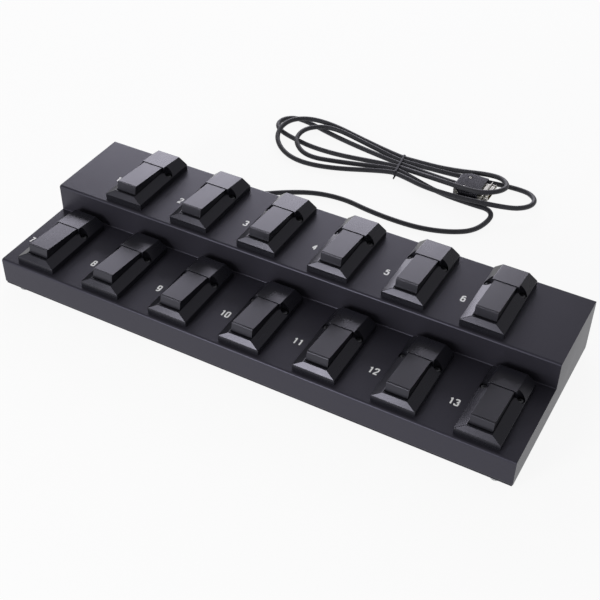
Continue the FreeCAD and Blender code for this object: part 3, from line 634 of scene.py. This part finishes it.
def strand_y(strand):
    """Row of a strand at the tie."""
    return WAIST[1] + (MIDDLE_STRAND - strand) * STRAND_PITCH


def waist_pass(strand, side):
    """Two points of a strand that crosses the waist towards a side."""
    return [(WAIST[0] + way * side * WAIST_HALF, strand_y(strand), WAIST[2]) for way in (-1, 1)]


def hank_loop(side, out, back, tip, middle, radius, stretch, run_out, run_back, heights):
    """One loop of the hank: a point on the run out, four round the turn and one on the run back."""
    way = 1 if strand_y(back) > strand_y(out) else -1
    centre = tip - side * radius * stretch
    corner = radius / math.cos(math.pi / 8)
    waist_x = WAIST[0] + side * WAIST_HALF
    share, offset = run_out
    flat = [(waist_x + (centre - waist_x) * share,
             strand_y(out) + (middle - way * radius - strand_y(out)) * share + offset)]
    for step in range(4):
        angle = math.radians(45 * step - 67.5)
        flat.append((centre + side * corner * math.cos(angle) * stretch,
                     middle + way * corner * math.sin(angle)))
    share, offset = run_back
    flat.append((centre + (waist_x - centre) * share,
                 middle + way * radius + (strand_y(back) - middle - way * radius) * share + offset))
    return [(x, y, z) for (x, y), z in zip(flat, heights)]


class PEDAL_OT_cord(bpy.types.Operator):
    """The cord from the gland through the hank to the plug"""
    bl_idname = "pedal.cord"
    bl_label = "Cord"

    def execute(self, context):
        diameter = context.scene.pedal_cord.diameter
        route = LEAD + waist_pass(4, -1)
        for loop in LOOPS:
            route += hank_loop(*loop) + waist_pass(loop[2], -loop[0])
        route += TO_PLUG
        line = bpy.data.curves.new("cord", "CURVE")
        line.dimensions = "3D"
        spline = line.splines.new("NURBS")
        spline.points.add(len(route) - 1)
        for point, place in zip(spline.points, route):
            point.co = (*(value * MM for value in place), 1.0)
        spline.order_u = 3
        spline.use_endpoint_u = True
        spline.resolution_u = CORD_STEPS
        line.resolution_u = CORD_STEPS
        line.bevel_depth = diameter / 2
        line.bevel_resolution = 5
        line.use_fill_caps = True
        line.materials.append(material("cord_jacket"))
        cord = placed("cord", line)
        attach(cord, "chassis")
        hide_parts("cord_lead", "cord_hank")
        return {"FINISHED"}


# Keys

def on_each_key(master, part, body):
    """A copy of a part on each key, riding on the body whose name takes the key's number."""
    for number in KEYS:
        mesh = master.copy()
        bmesh.ops.translate(mesh, verts=mesh.verts, vec=key_spot(number))
        piece(f"key_{part}_{number}", mesh, f"{part}_plastic", body.format(number),
              [f"pedal_{part}_{number}"], mend=False)
    master.free()


class PEDAL_OT_housings(bpy.types.Operator):
    """Thirteen moulded key housings"""
    bl_idname = "pedal.housings"
    bl_label = "Key housings"

    def execute(self, context):
        on_each_key(self.master(context.scene.pedal_key), "housing", "chassis")
        return {"FINISHED"}

    def section(self, key, foot_y, top_y, top_half, top):
        """Outline across the housing: upright skirt, slopes and flat top."""
        half = key.width / 2
        return [(half, foot_y, 0), (half, foot_y, key.skirt), (top_half, top_y, top),
                (-top_half, top_y, top), (-half, foot_y, key.skirt), (-half, foot_y, 0)]

    def half_moulding(self, key, sections):
        """Front or rear part with rounded edges, sharp where it meets the other part."""
        mesh = bmesh.new()
        loft(mesh, sections)
        for y in (0, key.length):
            ridge = [vert for vert in mesh.verts
                     if abs(vert.co.y - y) < NEAR and abs(vert.co.z - key.skirt) < NEAR]
            if ridge:
                bmesh.ops.connect_verts(mesh, verts=ridge)
        bmesh.ops.recalc_face_normals(mesh, faces=mesh.faces)

        def rounded(edge):
            top = max(vert.co.z for vert in edge.verts)
            on_seam = all(abs(vert.co.y - key.block_front) < NEAR for vert in edge.verts)
            return top > MARGIN and not (on_seam and top < key.rim_height + MARGIN)

        round_edges(mesh, key.edge, sharper=4.0, keep=rounded)
        return mesh

    def master(self, key):
        """Rim and rear block in one, with the lever's well and the screw pockets cut."""
        seam = key.block_front
        rim = self.half_moulding(key, [
            self.section(key, 0, key.rim_setback, key.rim_half, key.rim_height),
            self.section(key, seam, seam, key.rim_half, key.rim_height),
        ])
        rear_block = self.half_moulding(key, [
            self.section(key, seam, seam, key.block_half, key.block_height),
            self.section(key, key.length, key.heel_setback, key.block_half, key.heel_height),
        ])
        above = 30 * MM
        tools = solid(
            block, (-key.well_half, key.well_front, key.well_floor), (key.well_half, key.well_rear, above))
        for side in (-1, 1):
            rod(tools, key.pocket_radius, 20 * MM, (side * key.pocket_x, key.pocket_y, key.pocket_floor))
        mesh = carved(carved(rim, rear_block, "UNION"), tools)
        bmesh.ops.dissolve_limit(mesh, angle_limit=math.radians(0.5), verts=mesh.verts, edges=mesh.edges)
        return mesh


class PEDAL_OT_levers(bpy.types.Operator):
    """Thirteen moving key levers"""
    bl_idname = "pedal.levers"
    bl_label = "Key levers"

    def execute(self, context):
        on_each_key(self.master(context.scene.pedal_key), "lever", "key_{}")
        return {"FINISHED"}

    def master(self, key):
        """Hollow lever with a grip groove, a plunger and the stubs of its hinge."""
        mesh = bmesh.new()
        fall = (key.rear_height - key.nose_height) / (key.lever_rear - key.lever_nose)

        def top(setback):
            return key.nose_height + fall * (setback - key.lever_nose)

        groove, width, depth, slant = key.lever_nose + 1.3 * MM, 0.7 * MM, 0.8 * MM, 0.05 * MM
        outline = [
            (key.lever_chin, key.keel), (key.lever_chin, key.chin_height), (key.lever_nose, key.nose_height),
            (groove, top(groove)), (groove + slant, top(groove) - depth),
            (groove + width - slant, top(groove) - depth), (groove + width, top(groove + width)),
            (key.lever_rear, key.rear_height), (key.lever_rear, key.keel),
        ]
        half = key.lever_half
        loft(mesh, [[(side * half, y, z) for y, z in outline] for side in (-1, 1)])
        bmesh.ops.recalc_face_normals(mesh, faces=mesh.faces)
        nose = [edge for edge in mesh.edges if all(
            abs(vert.co.y - key.lever_nose) < NEAR for vert in edge.verts)]
        round_edges(mesh, key.nose_edge, 4, edges=nose)
        wall, crown = 1.8 * MM, 2.2 * MM
        under = min(mesh.faces, key=lambda face: face.calc_center_median().z)
        bmesh.ops.inset_region(mesh, faces=[under], thickness=wall, use_even_offset=True)
        hollow = bmesh.ops.extrude_face_region(mesh, geom=[under])["geom"]
        for item in hollow:
            if isinstance(item, bmesh.types.BMVert):
                item.co.z = top(item.co.y) - crown
        bmesh.ops.delete(mesh, geom=[under], context="FACES_KEEP_BOUNDARY")
        bmesh.ops.recalc_face_normals(mesh, faces=mesh.faces)
        slack = 0.1 * MM

        def outer(edge):
            if min(vert.co.z for vert in edge.verts) < key.keel + slack:
                return False
            inside = [abs(vert.co.x) < half - slack for vert in edge.verts]
            in_groove = [groove - slack < vert.co.y < groove + width + slack for vert in edge.verts]
            return not any(inside) and not all(in_groove)

        round_edges(mesh, 0.75 * MM, sharper=20.0, keep=outer)
        plunger_radius, plunger_reach, plunger_foot = 2.5 * MM, 8 * MM, (0, 24 * MM, 12 * MM)
        rod(mesh, plunger_radius, plunger_reach, plunger_foot)
        stub_radius, stub_half = 1.8 * MM, 14.5 * MM
        rod(mesh, stub_radius, 2 * stub_half, (-stub_half, key.axis_setback, key.axis_height), "X")
        return mesh


DOME_OUTLINE = [
    (6.7, 0), (9.0, 0), (9.0, 1.2), (7.4, 1.3), (7.2, 2.0), (5.6, 5.3), (4.2, 5.8), (3.9, 8.1), (0.8, 8.1),
    (0.8, 7.0), (3.0, 6.6), (3.2, 5.0), (4.7, 4.6), (6.4, 1.6),
]


class PEDAL_OT_domes(bpy.types.Operator):
    """Thirteen silicone return domes"""
    bl_idname = "pedal.domes"
    bl_label = "Return domes"

    def execute(self, context):
        for number in KEYS:
            low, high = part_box(f"contact_dome_{number}")
            foot = Vector(((low.x + high.x) / 2, (low.y + high.y) / 2, low.z))
            mesh = bmesh.new()
            spun(mesh, DOME_OUTLINE, foot, "Z", 24)
            made = piece(f"return_dome_{number}", mesh, "silicone", "chassis",
                         [f"contact_dome_{number}"])
            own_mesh(made)
        return {"FINISHED"}


# Numbers and their places, in millimetres
DIGIT_HEIGHT = 8.2
DIGIT_SQUEEZE = 0.86
ADVANCE = 6.6
ADVANCE_AFTER_ONE = 6.1
STROKE_RADIUS = 0.92
STROKE_FLATNESS = 0.04
PRINT_LIFT = 0.037
REAR_SETBACK = 30.8
FRONT_SETBACK = 31.6
NUMBER_ROW = 39.2

# Strokes of the digits, each with its curve order: straight 2, bent 3
BOWL = [
    (3.9, 7.6), (3.0, 8.4), (1.9, 8.2), (0, 7.6), (0, 3.0), (0.1, 0), (2.2, 0), (4.3, 0), (4.3, 2.6),
    (4.2, 5.0), (2.2, 5.0), (0.5, 4.9), (0.1, 3.2),
]
DIGITS = {
    "0": [(3, [(2.15, 8.2), (0, 8.2), (0, 4.1), (0, 0), (2.15, 0), (4.3, 0), (4.3, 4.1), (4.3, 8.2),
               (2.15, 8.2)])],
    "1": [(2, [(0.8, 6.7), (2.6, 8.2), (2.6, 0)])],
    "2": [(3, [(0.1, 6.2), (0.3, 8.3), (2.2, 8.3), (4.3, 8.3), (4.2, 5.9), (4.0, 4.4), (0.2, 0.3)]),
          (2, [(-0.4, 0), (4.6, 0)])],
    "3": [(3, [(0.2, 6.9), (0.6, 8.2), (2.1, 8.2), (4.1, 8.2), (4.1, 6.2), (4.0, 4.4), (1.8, 4.3)]),
          (3, [(1.8, 4.3), (4.4, 4.3), (4.4, 2.2), (4.3, 0), (2.1, 0), (0.3, 0), (0, 1.7)])],
    "4": [(2, [(3.2, 0), (3.2, 8.2), (0, 2.4), (4.7, 2.4)])],
    "5": [(2, [(4.2, 8.2), (0.8, 8.2), (0.4, 4.4)]),
          (3, [(0.4, 4.5), (1.2, 5.4), (2.4, 5.3), (4.4, 5.1), (4.4, 2.6), (4.3, 0), (2.1, 0), (0.3, 0),
               (0, 1.6)])],
    "6": [(3, BOWL)],
    "7": [(2, [(-0.2, 8.2), (4.3, 8.2), (2.4, 4.2), (1.6, 0)])],
    "8": [(3, [(2.15, 4.4), (0.2, 4.4), (0.3, 6.4), (0.5, 8.2), (2.15, 8.2), (3.8, 8.2), (4.0, 6.4),
               (4.1, 4.4), (2.15, 4.4)]),
          (3, [(2.15, 4.4), (0, 4.3), (0, 2.2), (0.1, 0), (2.15, 0), (4.2, 0), (4.3, 2.2), (4.3, 4.3),
               (2.15, 4.4)])],
    "9": [(3, [(4.3 - x, DIGIT_HEIGHT - y) for x, y in BOWL])],
}


class PEDAL_OT_numbers(bpy.types.Operator):
    """Printed key numbers on the treads"""
    bl_idname = "pedal.numbers"
    bl_label = "Key numbers"

    def execute(self, context):
        mesh = bmesh.new()
        for number in KEYS:
            ready, width = self.strokes(str(number))
            setback = REAR_SETBACK if number < FIRST_FRONT_KEY else FRONT_SETBACK
            shift = Vector((-setback - width, NUMBER_ROW - DIGIT_HEIGHT / 2, PRINT_LIFT)) * MM
            flat = Matrix.Diagonal((1, 1, STROKE_FLATNESS, 1))
            ready.transform(Matrix.Translation(key_spot(number) + shift) @ flat)
            mesh.from_mesh(ready)
            bpy.data.meshes.remove(ready)
        piece("key_numbers", mesh, "white_print", "chassis")
        return {"FINISHED"}

    def strokes(self, text):
        """Mesh of a number in round strokes, from the origin to the right, and its width in millimetres."""
        line = bpy.data.curves.new("number", "CURVE")
        line.dimensions = "3D"
        line.bevel_depth = STROKE_RADIUS * MM
        line.bevel_resolution = 2
        line.use_fill_caps = True
        start = 0
        for digit in text:
            for order, stroke in DIGITS[digit]:
                spline = line.splines.new("NURBS")
                spline.points.add(len(stroke) - 1)
                for point, (x, y) in zip(spline.points, stroke):
                    point.co = ((start + x * DIGIT_SQUEEZE) * MM, y * MM, 0, 1)
                spline.order_u = order
                spline.use_endpoint_u = True
                spline.resolution_u = 5
            start += ADVANCE_AFTER_ONE if digit == "1" else ADVANCE
        holder = placed("number", line)
        ready = evaluated(holder)
        bpy.data.objects.remove(holder)
        bpy.data.curves.remove(line)
        return ready, start


class PEDAL_OT_metalwork(bpy.types.Operator):
    """Finishes of the deck, end plates, base and inside parts"""
    bl_idname = "pedal.metalwork"
    bl_label = "Metalwork"

    def execute(self, context):
        coats = {
            "deck_shell": "powder_coat", "end_plate_left": "powder_coat", "end_plate_right": "powder_coat",
            "base_plate": "powder_coat", "gland_nut": "gland_nylon", "contact_boards": "circuit_board",
            "wiring_loom": "loom_sleeve",
        }
        for node, finish in coats.items():
            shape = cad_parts[node]
            shape.data.materials.clear()
            shape.data.materials.append(material(finish))
        return {"FINISHED"}


# Screws and feet

def cross_screw(radius, height, shank, reach):
    """Pan-head screw with a cross recess, its seat at the origin and its shank downwards."""
    mesh = solid(rod, radius, height, (0, 0, 0), segments=24)
    round_edges(mesh, height * 0.45, edges=[
        edge for edge in edges_of(mesh.verts) if min(vert.co.z for vert in edge.verts) > height / 2])
    arm, width, floor, above = radius * 0.55, radius * 0.11, height * 0.35, height * 2
    mesh = carved(mesh, solid(block, (-arm, -width, floor), (arm, width, above)))
    mesh = carved(mesh, solid(block, (-width, -arm, floor), (width, arm, above)))
    rod(mesh, shank, reach + height * 0.2, (0, 0, -reach), segments=16)
    return mesh


def many(master, matrices):
    """One mesh with a copy of the master at each matrix."""
    mesh = bmesh.new()
    for matrix in matrices:
        shape = master.copy()
        bmesh.ops.transform(shape, matrix=matrix, verts=shape.verts)
        data = stored("copy", shape)
        mesh.from_mesh(data)
        bpy.data.meshes.remove(data)
    master.free()
    return mesh


class PEDAL_OT_screws(bpy.types.Operator):
    """Housing screws in their pockets, and base screws underneath"""
    bl_idname = "pedal.screws"
    bl_label = "Screws"

    def execute(self, context):
        key = context.scene.pedal_key
        spots = []
        for number in KEYS:
            for side in (-1, 1):
                spot = key_spot(number) + Vector((side * key.pocket_x, key.pocket_y, key.pocket_floor))
                turn = Matrix.Rotation(math.radians(37 * number + 20 * side), 4, "Z")
                spots.append(Matrix.Translation(spot) @ turn)
        heads = many(cross_screw(radius=3.15 * MM, height=2.4 * MM, shank=1.5 * MM, reach=11 * MM), spots)
        piece("key_screws", heads, "black_oxide", "chassis", ["housing_screws"])
        low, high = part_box("base_screws")
        radius, height, columns = 2.8 * MM, 1.6 * MM, 5
        spots = []
        for column in range(columns):
            for y in (low.y + radius, high.y - radius):
                x = low.x + radius + (high.x - low.x - 2 * radius) * column / (columns - 1)
                flip = Matrix.Rotation(math.pi, 4, "X") @ Matrix.Rotation(math.radians(31 * column), 4, "Z")
                spots.append(Matrix.Translation((x, y, low.z + height)) @ flip)
        heads = many(cross_screw(radius, height, shank=1.5 * MM, reach=6.2 * MM), spots)
        piece("base_plate_screws", heads, "plated_steel", "chassis", ["base_screws"])
        return {"FINISHED"}


FOOT_RADIUS = 6.5
FOOT_OUTLINE = [
    (0.6, 0.9), (2.1, 0.9), (2.4, 0.0), (5.3, 0.0), (5.8, 0.2), (6.1, 0.7), (FOOT_RADIUS, 5.0), (0.6, 5.0),
]


class PEDAL_OT_feet(bpy.types.Operator):
    """Four rubber feet"""
    bl_idname = "pedal.feet"
    bl_label = "Feet"

    def execute(self, context):
        low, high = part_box("rubber_feet")
        radius = FOOT_RADIUS * MM
        mesh = bmesh.new()
        for x in (low.x + radius, high.x - radius):
            for y in (low.y + radius, high.y - radius):
                spun(mesh, FOOT_OUTLINE, (x, y, 0), "Z", 36)
        piece("feet", mesh, "foot_rubber", "chassis", ["rubber_feet"])
        return {"FINISHED"}


class PEDAL_OT_gland(bpy.types.Operator):
    """Cable gland with its ribbed sleeve"""
    bl_idname = "pedal.gland"
    bl_label = "Cable gland"

    def execute(self, context):
        low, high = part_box("cable_gland")
        end, bore = 28.0, 3.25
        face = Vector(((low.x + high.x) / 2, high.y - end * MM, (low.z + high.z) / 2))

        def along(setback):
            return face + Vector((0, setback * MM, 0))

        mesh = bmesh.new()
        rod(mesh, radius=6 * MM, reach=10.2 * MM, start=along(-10), axis="Y")
        flange = rod(mesh, radius=10 * MM, reach=4 * MM, start=face, axis="Y", segments=6)
        round_edges(mesh, 0.5 * MM, edges=edges_of(flange))
        cap = rod(mesh, radius=8.5 * MM, reach=8 * MM, start=along(3.8), axis="Y", segments=48)
        knurled(cap, face, across=0, up=2, run=4, share=0.94)
        spun(mesh, self.sleeve(bore, end), face, "Y", 32)
        piece("gland", mesh, "gland_nylon", "chassis", ["cable_gland"])
        return {"FINISHED"}

    def sleeve(self, bore, end):
        """Outline of a tapered sleeve with five ribs."""
        first, pitch, root, taper, rib_depth = 13.0, 2.8, 5.9, 0.26, 0.9
        outline = [(bore, 11.6), (6.0, 11.6), (6.0, first)]
        for rib in range(5):
            start = first + rib * pitch
            radius = root - rib * taper
            outline += [(radius - rib_depth, start + 0.2), (radius - rib_depth, start + 1.2),
                        (radius, start + 1.5), (radius - 0.1, start + 2.7)]
        return outline + [(4.5, end - 0.4), (4.0, end), (bore, end)]


class PEDAL_OT_tie(bpy.types.Operator):
    """Twist tie round the waist of the hank"""
    bl_idname = "pedal.tie"
    bl_label = "Twist tie"

    def execute(self, context):
        half, low, high, width = 23.3 * MM, 0.35 * MM, 8.7 * MM, 2.6 * MM
        mesh = bmesh.new()
        corners = [(-half, low), (half, low), (half, high), (-half, high)]
        rounded_ring(mesh, [(-width / 2, y, z) for y, z in corners], corner=3.4 * MM)
        band = list(mesh.edges)
        middle = (low + high) / 2
        for swell in (1.01, 1 / 1.01):
            rise = 1 + (swell - 1) * 4
            band = [item for item in bmesh.ops.extrude_edge_only(mesh, edges=band)["geom"]
                    if isinstance(item, bmesh.types.BMEdge) and item.calc_length() > 0]
            moved = list({vert for edge in band for vert in edge.verts})
            bmesh.ops.translate(mesh, verts=moved, vec=(width / 2, 0, 0))
            for vert in moved:
                vert.co.y *= swell
                vert.co.z = middle + (vert.co.z - middle) * rise
        bmesh.ops.recalc_face_normals(mesh, faces=mesh.faces)
        bmesh.ops.solidify(mesh, geom=mesh.faces, thickness=0.45 * MM)
        for phase, reach in ((0.0, 5.6), (1.4, 4.8)):
            self.tail(mesh, -half + 0.4 * MM, phase, reach * MM)
        place = Matrix.Translation((WAIST[0] * MM, WAIST[1] * MM, 0))
        turn = Matrix.Rotation(math.radians(8), 4, "Z")
        bmesh.ops.transform(mesh, matrix=place @ turn, verts=mesh.verts)
        piece("twist_tie", mesh, "tie_ribbon", "chassis", ["hank_tie"])
        return {"FINISHED"}

    def tail(self, mesh, start, phase, reach):
        """Twisted end of the ribbon, towards the front."""
        width, height, twist = 2.1 * MM, 1.6 * MM, 8.5
        tail = bmesh.ops.create_grid(mesh, x_segments=2, y_segments=22, size=0.5)["verts"]
        for vert in tail:
            along = 0.5 - vert.co.y
            across = vert.co.x * width
            angle = phase + along * twist
            vert.co = (across * math.cos(angle), start - along * reach, height + across * math.sin(angle))
        faces = list({face for vert in tail for face in vert.link_faces})
        bmesh.ops.solidify(mesh, geom=faces, thickness=0.4 * MM)


# Plug

def plug_frame():
    """Hood's cable end, middle and split height, from the frame."""
    low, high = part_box("plug_hood_lower")
    return low.x, (low.y + high.y) / 2, high.z


JACK_HALF = 16.65 * MM
JACK_HOLE = 1.6 * MM
CLAMP_HALF = 11.1 * MM
CLAMP_SETBACK = 13 * MM
CLAMP_SEAT = 1.6 * MM
CAN_REACH = 6 * MM
CAN_HALF = 13.5 * MM
CAN_RISE = 5 * MM
CAN_BORE_HALF = 11.4 * MM
CAN_BORE_RISE = 3.65 * MM
FLANGE = 0.8 * MM
INSERT_SETBACK = 2.25 * MM
PIN_PITCH = 2.6
PIN_ROWS = ((8, 1.42), (7, -1.42))
PIN_OUTLINE = [(0.05, 0), (0.8, 0), (0.8, 2.2), (0.5, 2.2), (0.5, 18.0), (0.3, 18.6), (0.05, 18.7)]


class PEDAL_OT_hood(bpy.types.Operator):
    """Two halves of the plug hood, with grip ribs, and their screws"""
    bl_idname = "pedal.hood"
    bl_label = "Plug hood"

    def execute(self, context):
        left, middle, split = plug_frame()
        for name, node, way in (("hood_top", "plug_hood_upper", 1), ("hood_bottom", "plug_hood_lower", -1)):
            low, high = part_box(node)
            mesh = self.half_hood(low, high, split, way)
            for tool in self.cuts(left, middle, split, low, high, way):
                mesh = carved(mesh, tool)
            piece(name, mesh, "hood_plastic", "chassis", [node], mend=False)
        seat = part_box("plug_hood_upper")[1].z - CLAMP_SEAT
        spots = [Matrix.Translation((left + CLAMP_SETBACK, middle + side * CLAMP_HALF, seat))
                 @ Matrix.Rotation(math.radians(25 + side * 30), 4, "Z") for side in (-1, 1)]
        screws = many(cross_screw(radius=2.3 * MM, height=1.3 * MM, shank=1.25 * MM, reach=12 * MM), spots)
        piece("hood_assembly_screws", screws, "nickel", "chassis", ["hood_screws"])
        return {"FINISHED"}

    def half_hood(self, low, high, split, way):
        """Block with a tapered cable end and rounded outer edges."""
        taper, shoulder = 11 * MM, 6.3 * MM
        mesh = bmesh.new()
        outline = [(low.x + taper, low.y), (high.x, low.y), (high.x, high.y), (low.x + taper, high.y),
                   (low.x, high.y - shoulder), (low.x, low.y + shoulder)]
        loft(mesh, [[(x, y, z) for x, y in outline] for z in (low.z, high.z)])
        bmesh.ops.recalc_face_normals(mesh, faces=mesh.faces)
        level = split + way * 5 * MM

        def outer(edge):
            past_level = any((vert.co.z - level) * way > 0 for vert in edge.verts)
            return past_level and min(vert.co.x for vert in edge.verts) < high.x - MARGIN

        round_edges(mesh, 1.1 * MM, keep=outer)
        return mesh

    def cuts(self, left, middle, split, low, high, way):
        """Room inside, mouth, cable entry, jackscrew ways, screw seats and grip grooves."""
        def heights(wall):
            return (low.z + wall, high.z + MARGIN) if way < 0 else (low.z - MARGIN, high.z - wall)

        wall, half = 2.2 * MM, 8.5 * MM
        floor, roof = heights(wall)
        yield solid(block, (left + wall, middle - half, floor), (high.x - 6 * MM, middle + half, roof))
        half, rise = 11 * MM, 4.6 * MM
        yield solid(block, (high.x - 9 * MM, middle - half, split - rise),
                    (high.x + MARGIN, middle + half, split + rise))
        yield solid(rod, 3.25 * MM, 5 * MM, (left - MARGIN, middle, split), "X")
        for side in (-1, 1):
            row = middle + side * JACK_HALF
            yield solid(rod, JACK_HOLE, 40 * MM, (left + 4 * MM, row, split), "X", segments=20)
            yield solid(rod, 2.9 * MM, 9.5 * MM, (left - MARGIN, row, split), "X")
            radius, seat = (2.8 * MM, high.z - CLAMP_SEAT) if way > 0 else (1.3 * MM, low.z + 1.5 * MM)
            yield solid(rod, radius, 6 * MM, (left + CLAMP_SETBACK, middle + side * CLAMP_HALF, seat))
            yield self.grooves(left, low.y if side < 0 else high.y, *heights(1.5 * MM))

    def grooves(self, left, side, floor, roof):
        """Eight grip grooves in a side face."""
        mesh = bmesh.new()
        first, pitch, width, depth = 13.5, 2.5, 1.1 * MM, 0.7 * MM
        for count in range(8):
            x = left + (first + count * pitch) * MM
            block(mesh, (x, side - depth, floor), (x + width, side + depth, roof))
        return mesh


class PEDAL_OT_shell(bpy.types.Operator):
    """Metal can, flange and collar of the plug, with the insert and its contact pins"""
    bl_idname = "pedal.shell"
    bl_label = "Plug shell and pins"

    def execute(self, context):
        _, middle, split = plug_frame()
        low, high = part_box("plug_shell")
        face = low.x + CAN_REACH
        mesh = self.plate(low.x, face + FLANGE / 2, (middle - CAN_HALF, split - CAN_RISE),
                          (middle + CAN_HALF, split + CAN_RISE), corner=1.4 * MM)
        flange = self.plate(face, face + FLANGE, (low.y, low.z), (high.y, high.z), corner=1.6 * MM)
        mesh = carved(mesh, flange, "UNION")
        for side in (-1, 1):
            place = (face - MARGIN, middle + side * JACK_HALF, split)
            mesh = carved(mesh, solid(rod, JACK_HOLE, 4 * MM, place, "X"))
        mesh = carved(mesh, solid(block, (low.x - MARGIN, middle - CAN_BORE_HALF, split - CAN_BORE_RISE),
                                  (face + 3 * MM, middle + CAN_BORE_HALF, split + CAN_BORE_RISE)))
        self.collar(mesh, face, middle, split)
        piece("shell", mesh, "nickel", "chassis", ["plug_shell"], mend=False)
        start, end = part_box("plug_insert")
        insert = self.plate(start.x + INSERT_SETBACK, face + 1 * MM, (start.y, start.z), (end.y, end.z),
                            corner=0.6 * MM)
        piece("contact_insert", insert, "insert_plastic", "chassis", ["plug_insert"])
        pins = bmesh.new()
        for count, height in PIN_ROWS:
            for pin in range(count):
                y = middle + (pin - (count - 1) / 2) * PIN_PITCH * MM
                spun(pins, PIN_OUTLINE, (start.x, y, split + height * MM), "X", 12)
        piece("contact_pins", pins, "gold", "chassis")
        return {"FINISHED"}

    def plate(self, start, end, low, high, corner):
        """Upright plate between two places along x, its corners rounded."""
        mesh = bmesh.new()
        plate = block(mesh, (start, *low), (end, *high))
        round_edges(mesh, corner, 4, edges=[
            edge for edge in edges_of(plate) if abs(edge.verts[0].co.x - edge.verts[1].co.x) > 0.5 * MM])
        bmesh.ops.recalc_face_normals(mesh, faces=mesh.faces)
        return mesh

    def collar(self, mesh, face, middle, split):
        """Thin wall of D outline in front of the flange."""
        half, rise, lean, reach, wall = 12.5 * MM, 4.2 * MM, 1 * MM, 5.9 * MM, 0.45 * MM
        corners = [(-half + lean, -rise), (half - lean, -rise), (half, rise), (-half, rise)]
        start = face + 0.1 * MM
        rounded_ring(mesh, [(start, middle + y, split + z) for y, z in corners], corner=1.9 * MM)
        grown = bmesh.ops.extrude_edge_only(
            mesh, edges=[edge for edge in mesh.edges if not edge.link_faces])["geom"]
        bmesh.ops.translate(mesh, vec=(reach, 0, 0), verts=[
            item for item in grown if isinstance(item, bmesh.types.BMVert)])
        sides = [item for item in grown if isinstance(item, bmesh.types.BMFace)]
        bmesh.ops.recalc_face_normals(mesh, faces=sides)
        if sides[0].normal.dot(sides[0].calc_center_median() - Vector((0, middle, split))) < 0:
            bmesh.ops.reverse_faces(mesh, faces=sides)
        bmesh.ops.solidify(mesh, geom=sides, thickness=wall)


# Shank with its collar and one turn of thread at the end
JACKSCREW_OUTLINE = [
    (0.05, 3.8), (1.5, 3.8), (1.5, 38.9), (2.5, 38.9), (2.8, 39.2), (2.8, 43.5), (2.5, 43.8), (1.25, 43.8),
    (1.25, 43.9), (1.5, 44.02), (1.5, 44.16), (1.25, 44.3), (1.2, 44.6), (0.9, 44.8), (0.05, 44.8),
]


class PEDAL_OT_jackscrews(bpy.types.Operator):
    """Two jackscrews with knurled heads and threaded ends"""
    bl_idname = "pedal.jackscrews"
    bl_label = "Jackscrews"

    def execute(self, context):
        _, middle, split = plug_frame()
        for row, side in (("near", -1), ("far", 1)):
            low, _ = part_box(f"jackscrew_{row}")
            axis = Vector((low.x, middle + side * JACK_HALF, split))
            mesh = bmesh.new()
            head = rod(mesh, 2.6 * MM, 4 * MM, axis, "X", segments=48)
            knurled(head, axis, across=1, up=2, run=2, share=0.93)
            depth, reach, half = 0.9 * MM, 4 * MM, 0.35 * MM
            mesh = carved(mesh, solid(
                block, axis - Vector((MARGIN, reach, half)), axis + Vector((depth, reach, half))))
            spun(mesh, JACKSCREW_OUTLINE, axis, "X", 24)
            piece(f"jack_screw_{row}", mesh, "nickel", f"jack_{row}", [f"jackscrew_{row}"],
                  mend=False)
        return {"FINISHED"}


class PEDAL_OT_declare_cord(bpy.types.Operator):
    """Step that does nothing"""
    bl_idname = "pedal.declare_cord"
    bl_label = "Cord facts"

    def execute(self, context):
        return {"FINISHED"}


# Sidebar and registration

class PEDAL_PT_panel(bpy.types.Panel):
    """Builders of the foot pedal switch"""
    bl_label = "Foot pedal switch"
    bl_idname = "PEDAL_PT_panel"
    bl_space_type = "VIEW_3D"
    bl_region_type = "UI"
    bl_category = "Foot pedal"

    def draw(self, context):
        for builder in BUILDERS:
            self.layout.operator(builder.bl_idname)
        for name in GROUPS:
            group = getattr(context.scene, name)
            box = self.layout.box()
            for prop in group.bl_rna.properties:
                if prop.identifier not in ("rna_type", "name"):
                    box.prop(group, prop.identifier)


GROUPS = {
    "pedal_key": KeySizes,
    "pedal_cord": CordSizes,
    "pedal_colours": Colours,
    "pedal_stage": StageSettings,
}
BUILDERS = (
    PEDAL_OT_stage,
    PEDAL_OT_cord,
    PEDAL_OT_metalwork,
    PEDAL_OT_housings,
    PEDAL_OT_levers,
    PEDAL_OT_domes,
    PEDAL_OT_numbers,
    PEDAL_OT_screws,
    PEDAL_OT_feet,
    PEDAL_OT_gland,
    PEDAL_OT_tie,
    PEDAL_OT_hood,
    PEDAL_OT_shell,
    PEDAL_OT_jackscrews,
    PEDAL_OT_declare_cord,
)


def register():
    for name, group in GROUPS.items():
        bpy.utils.register_class(group)
        setattr(bpy.types.Scene, name, bpy.props.PointerProperty(type=group))
    for kind in (*BUILDERS, PEDAL_PT_panel):
        bpy.utils.register_class(kind)


def unregister():
    for kind in (PEDAL_PT_panel, *reversed(BUILDERS)):
        bpy.utils.unregister_class(kind)
    for name, group in reversed(GROUPS.items()):
        delattr(bpy.types.Scene, name)
        bpy.utils.unregister_class(group)


def main():
    register()
    for builder in BUILDERS:
        area, action = builder.bl_idname.split(".")
        getattr(getattr(bpy.ops, area), action)()


if __name__ == "__main__":
    main()
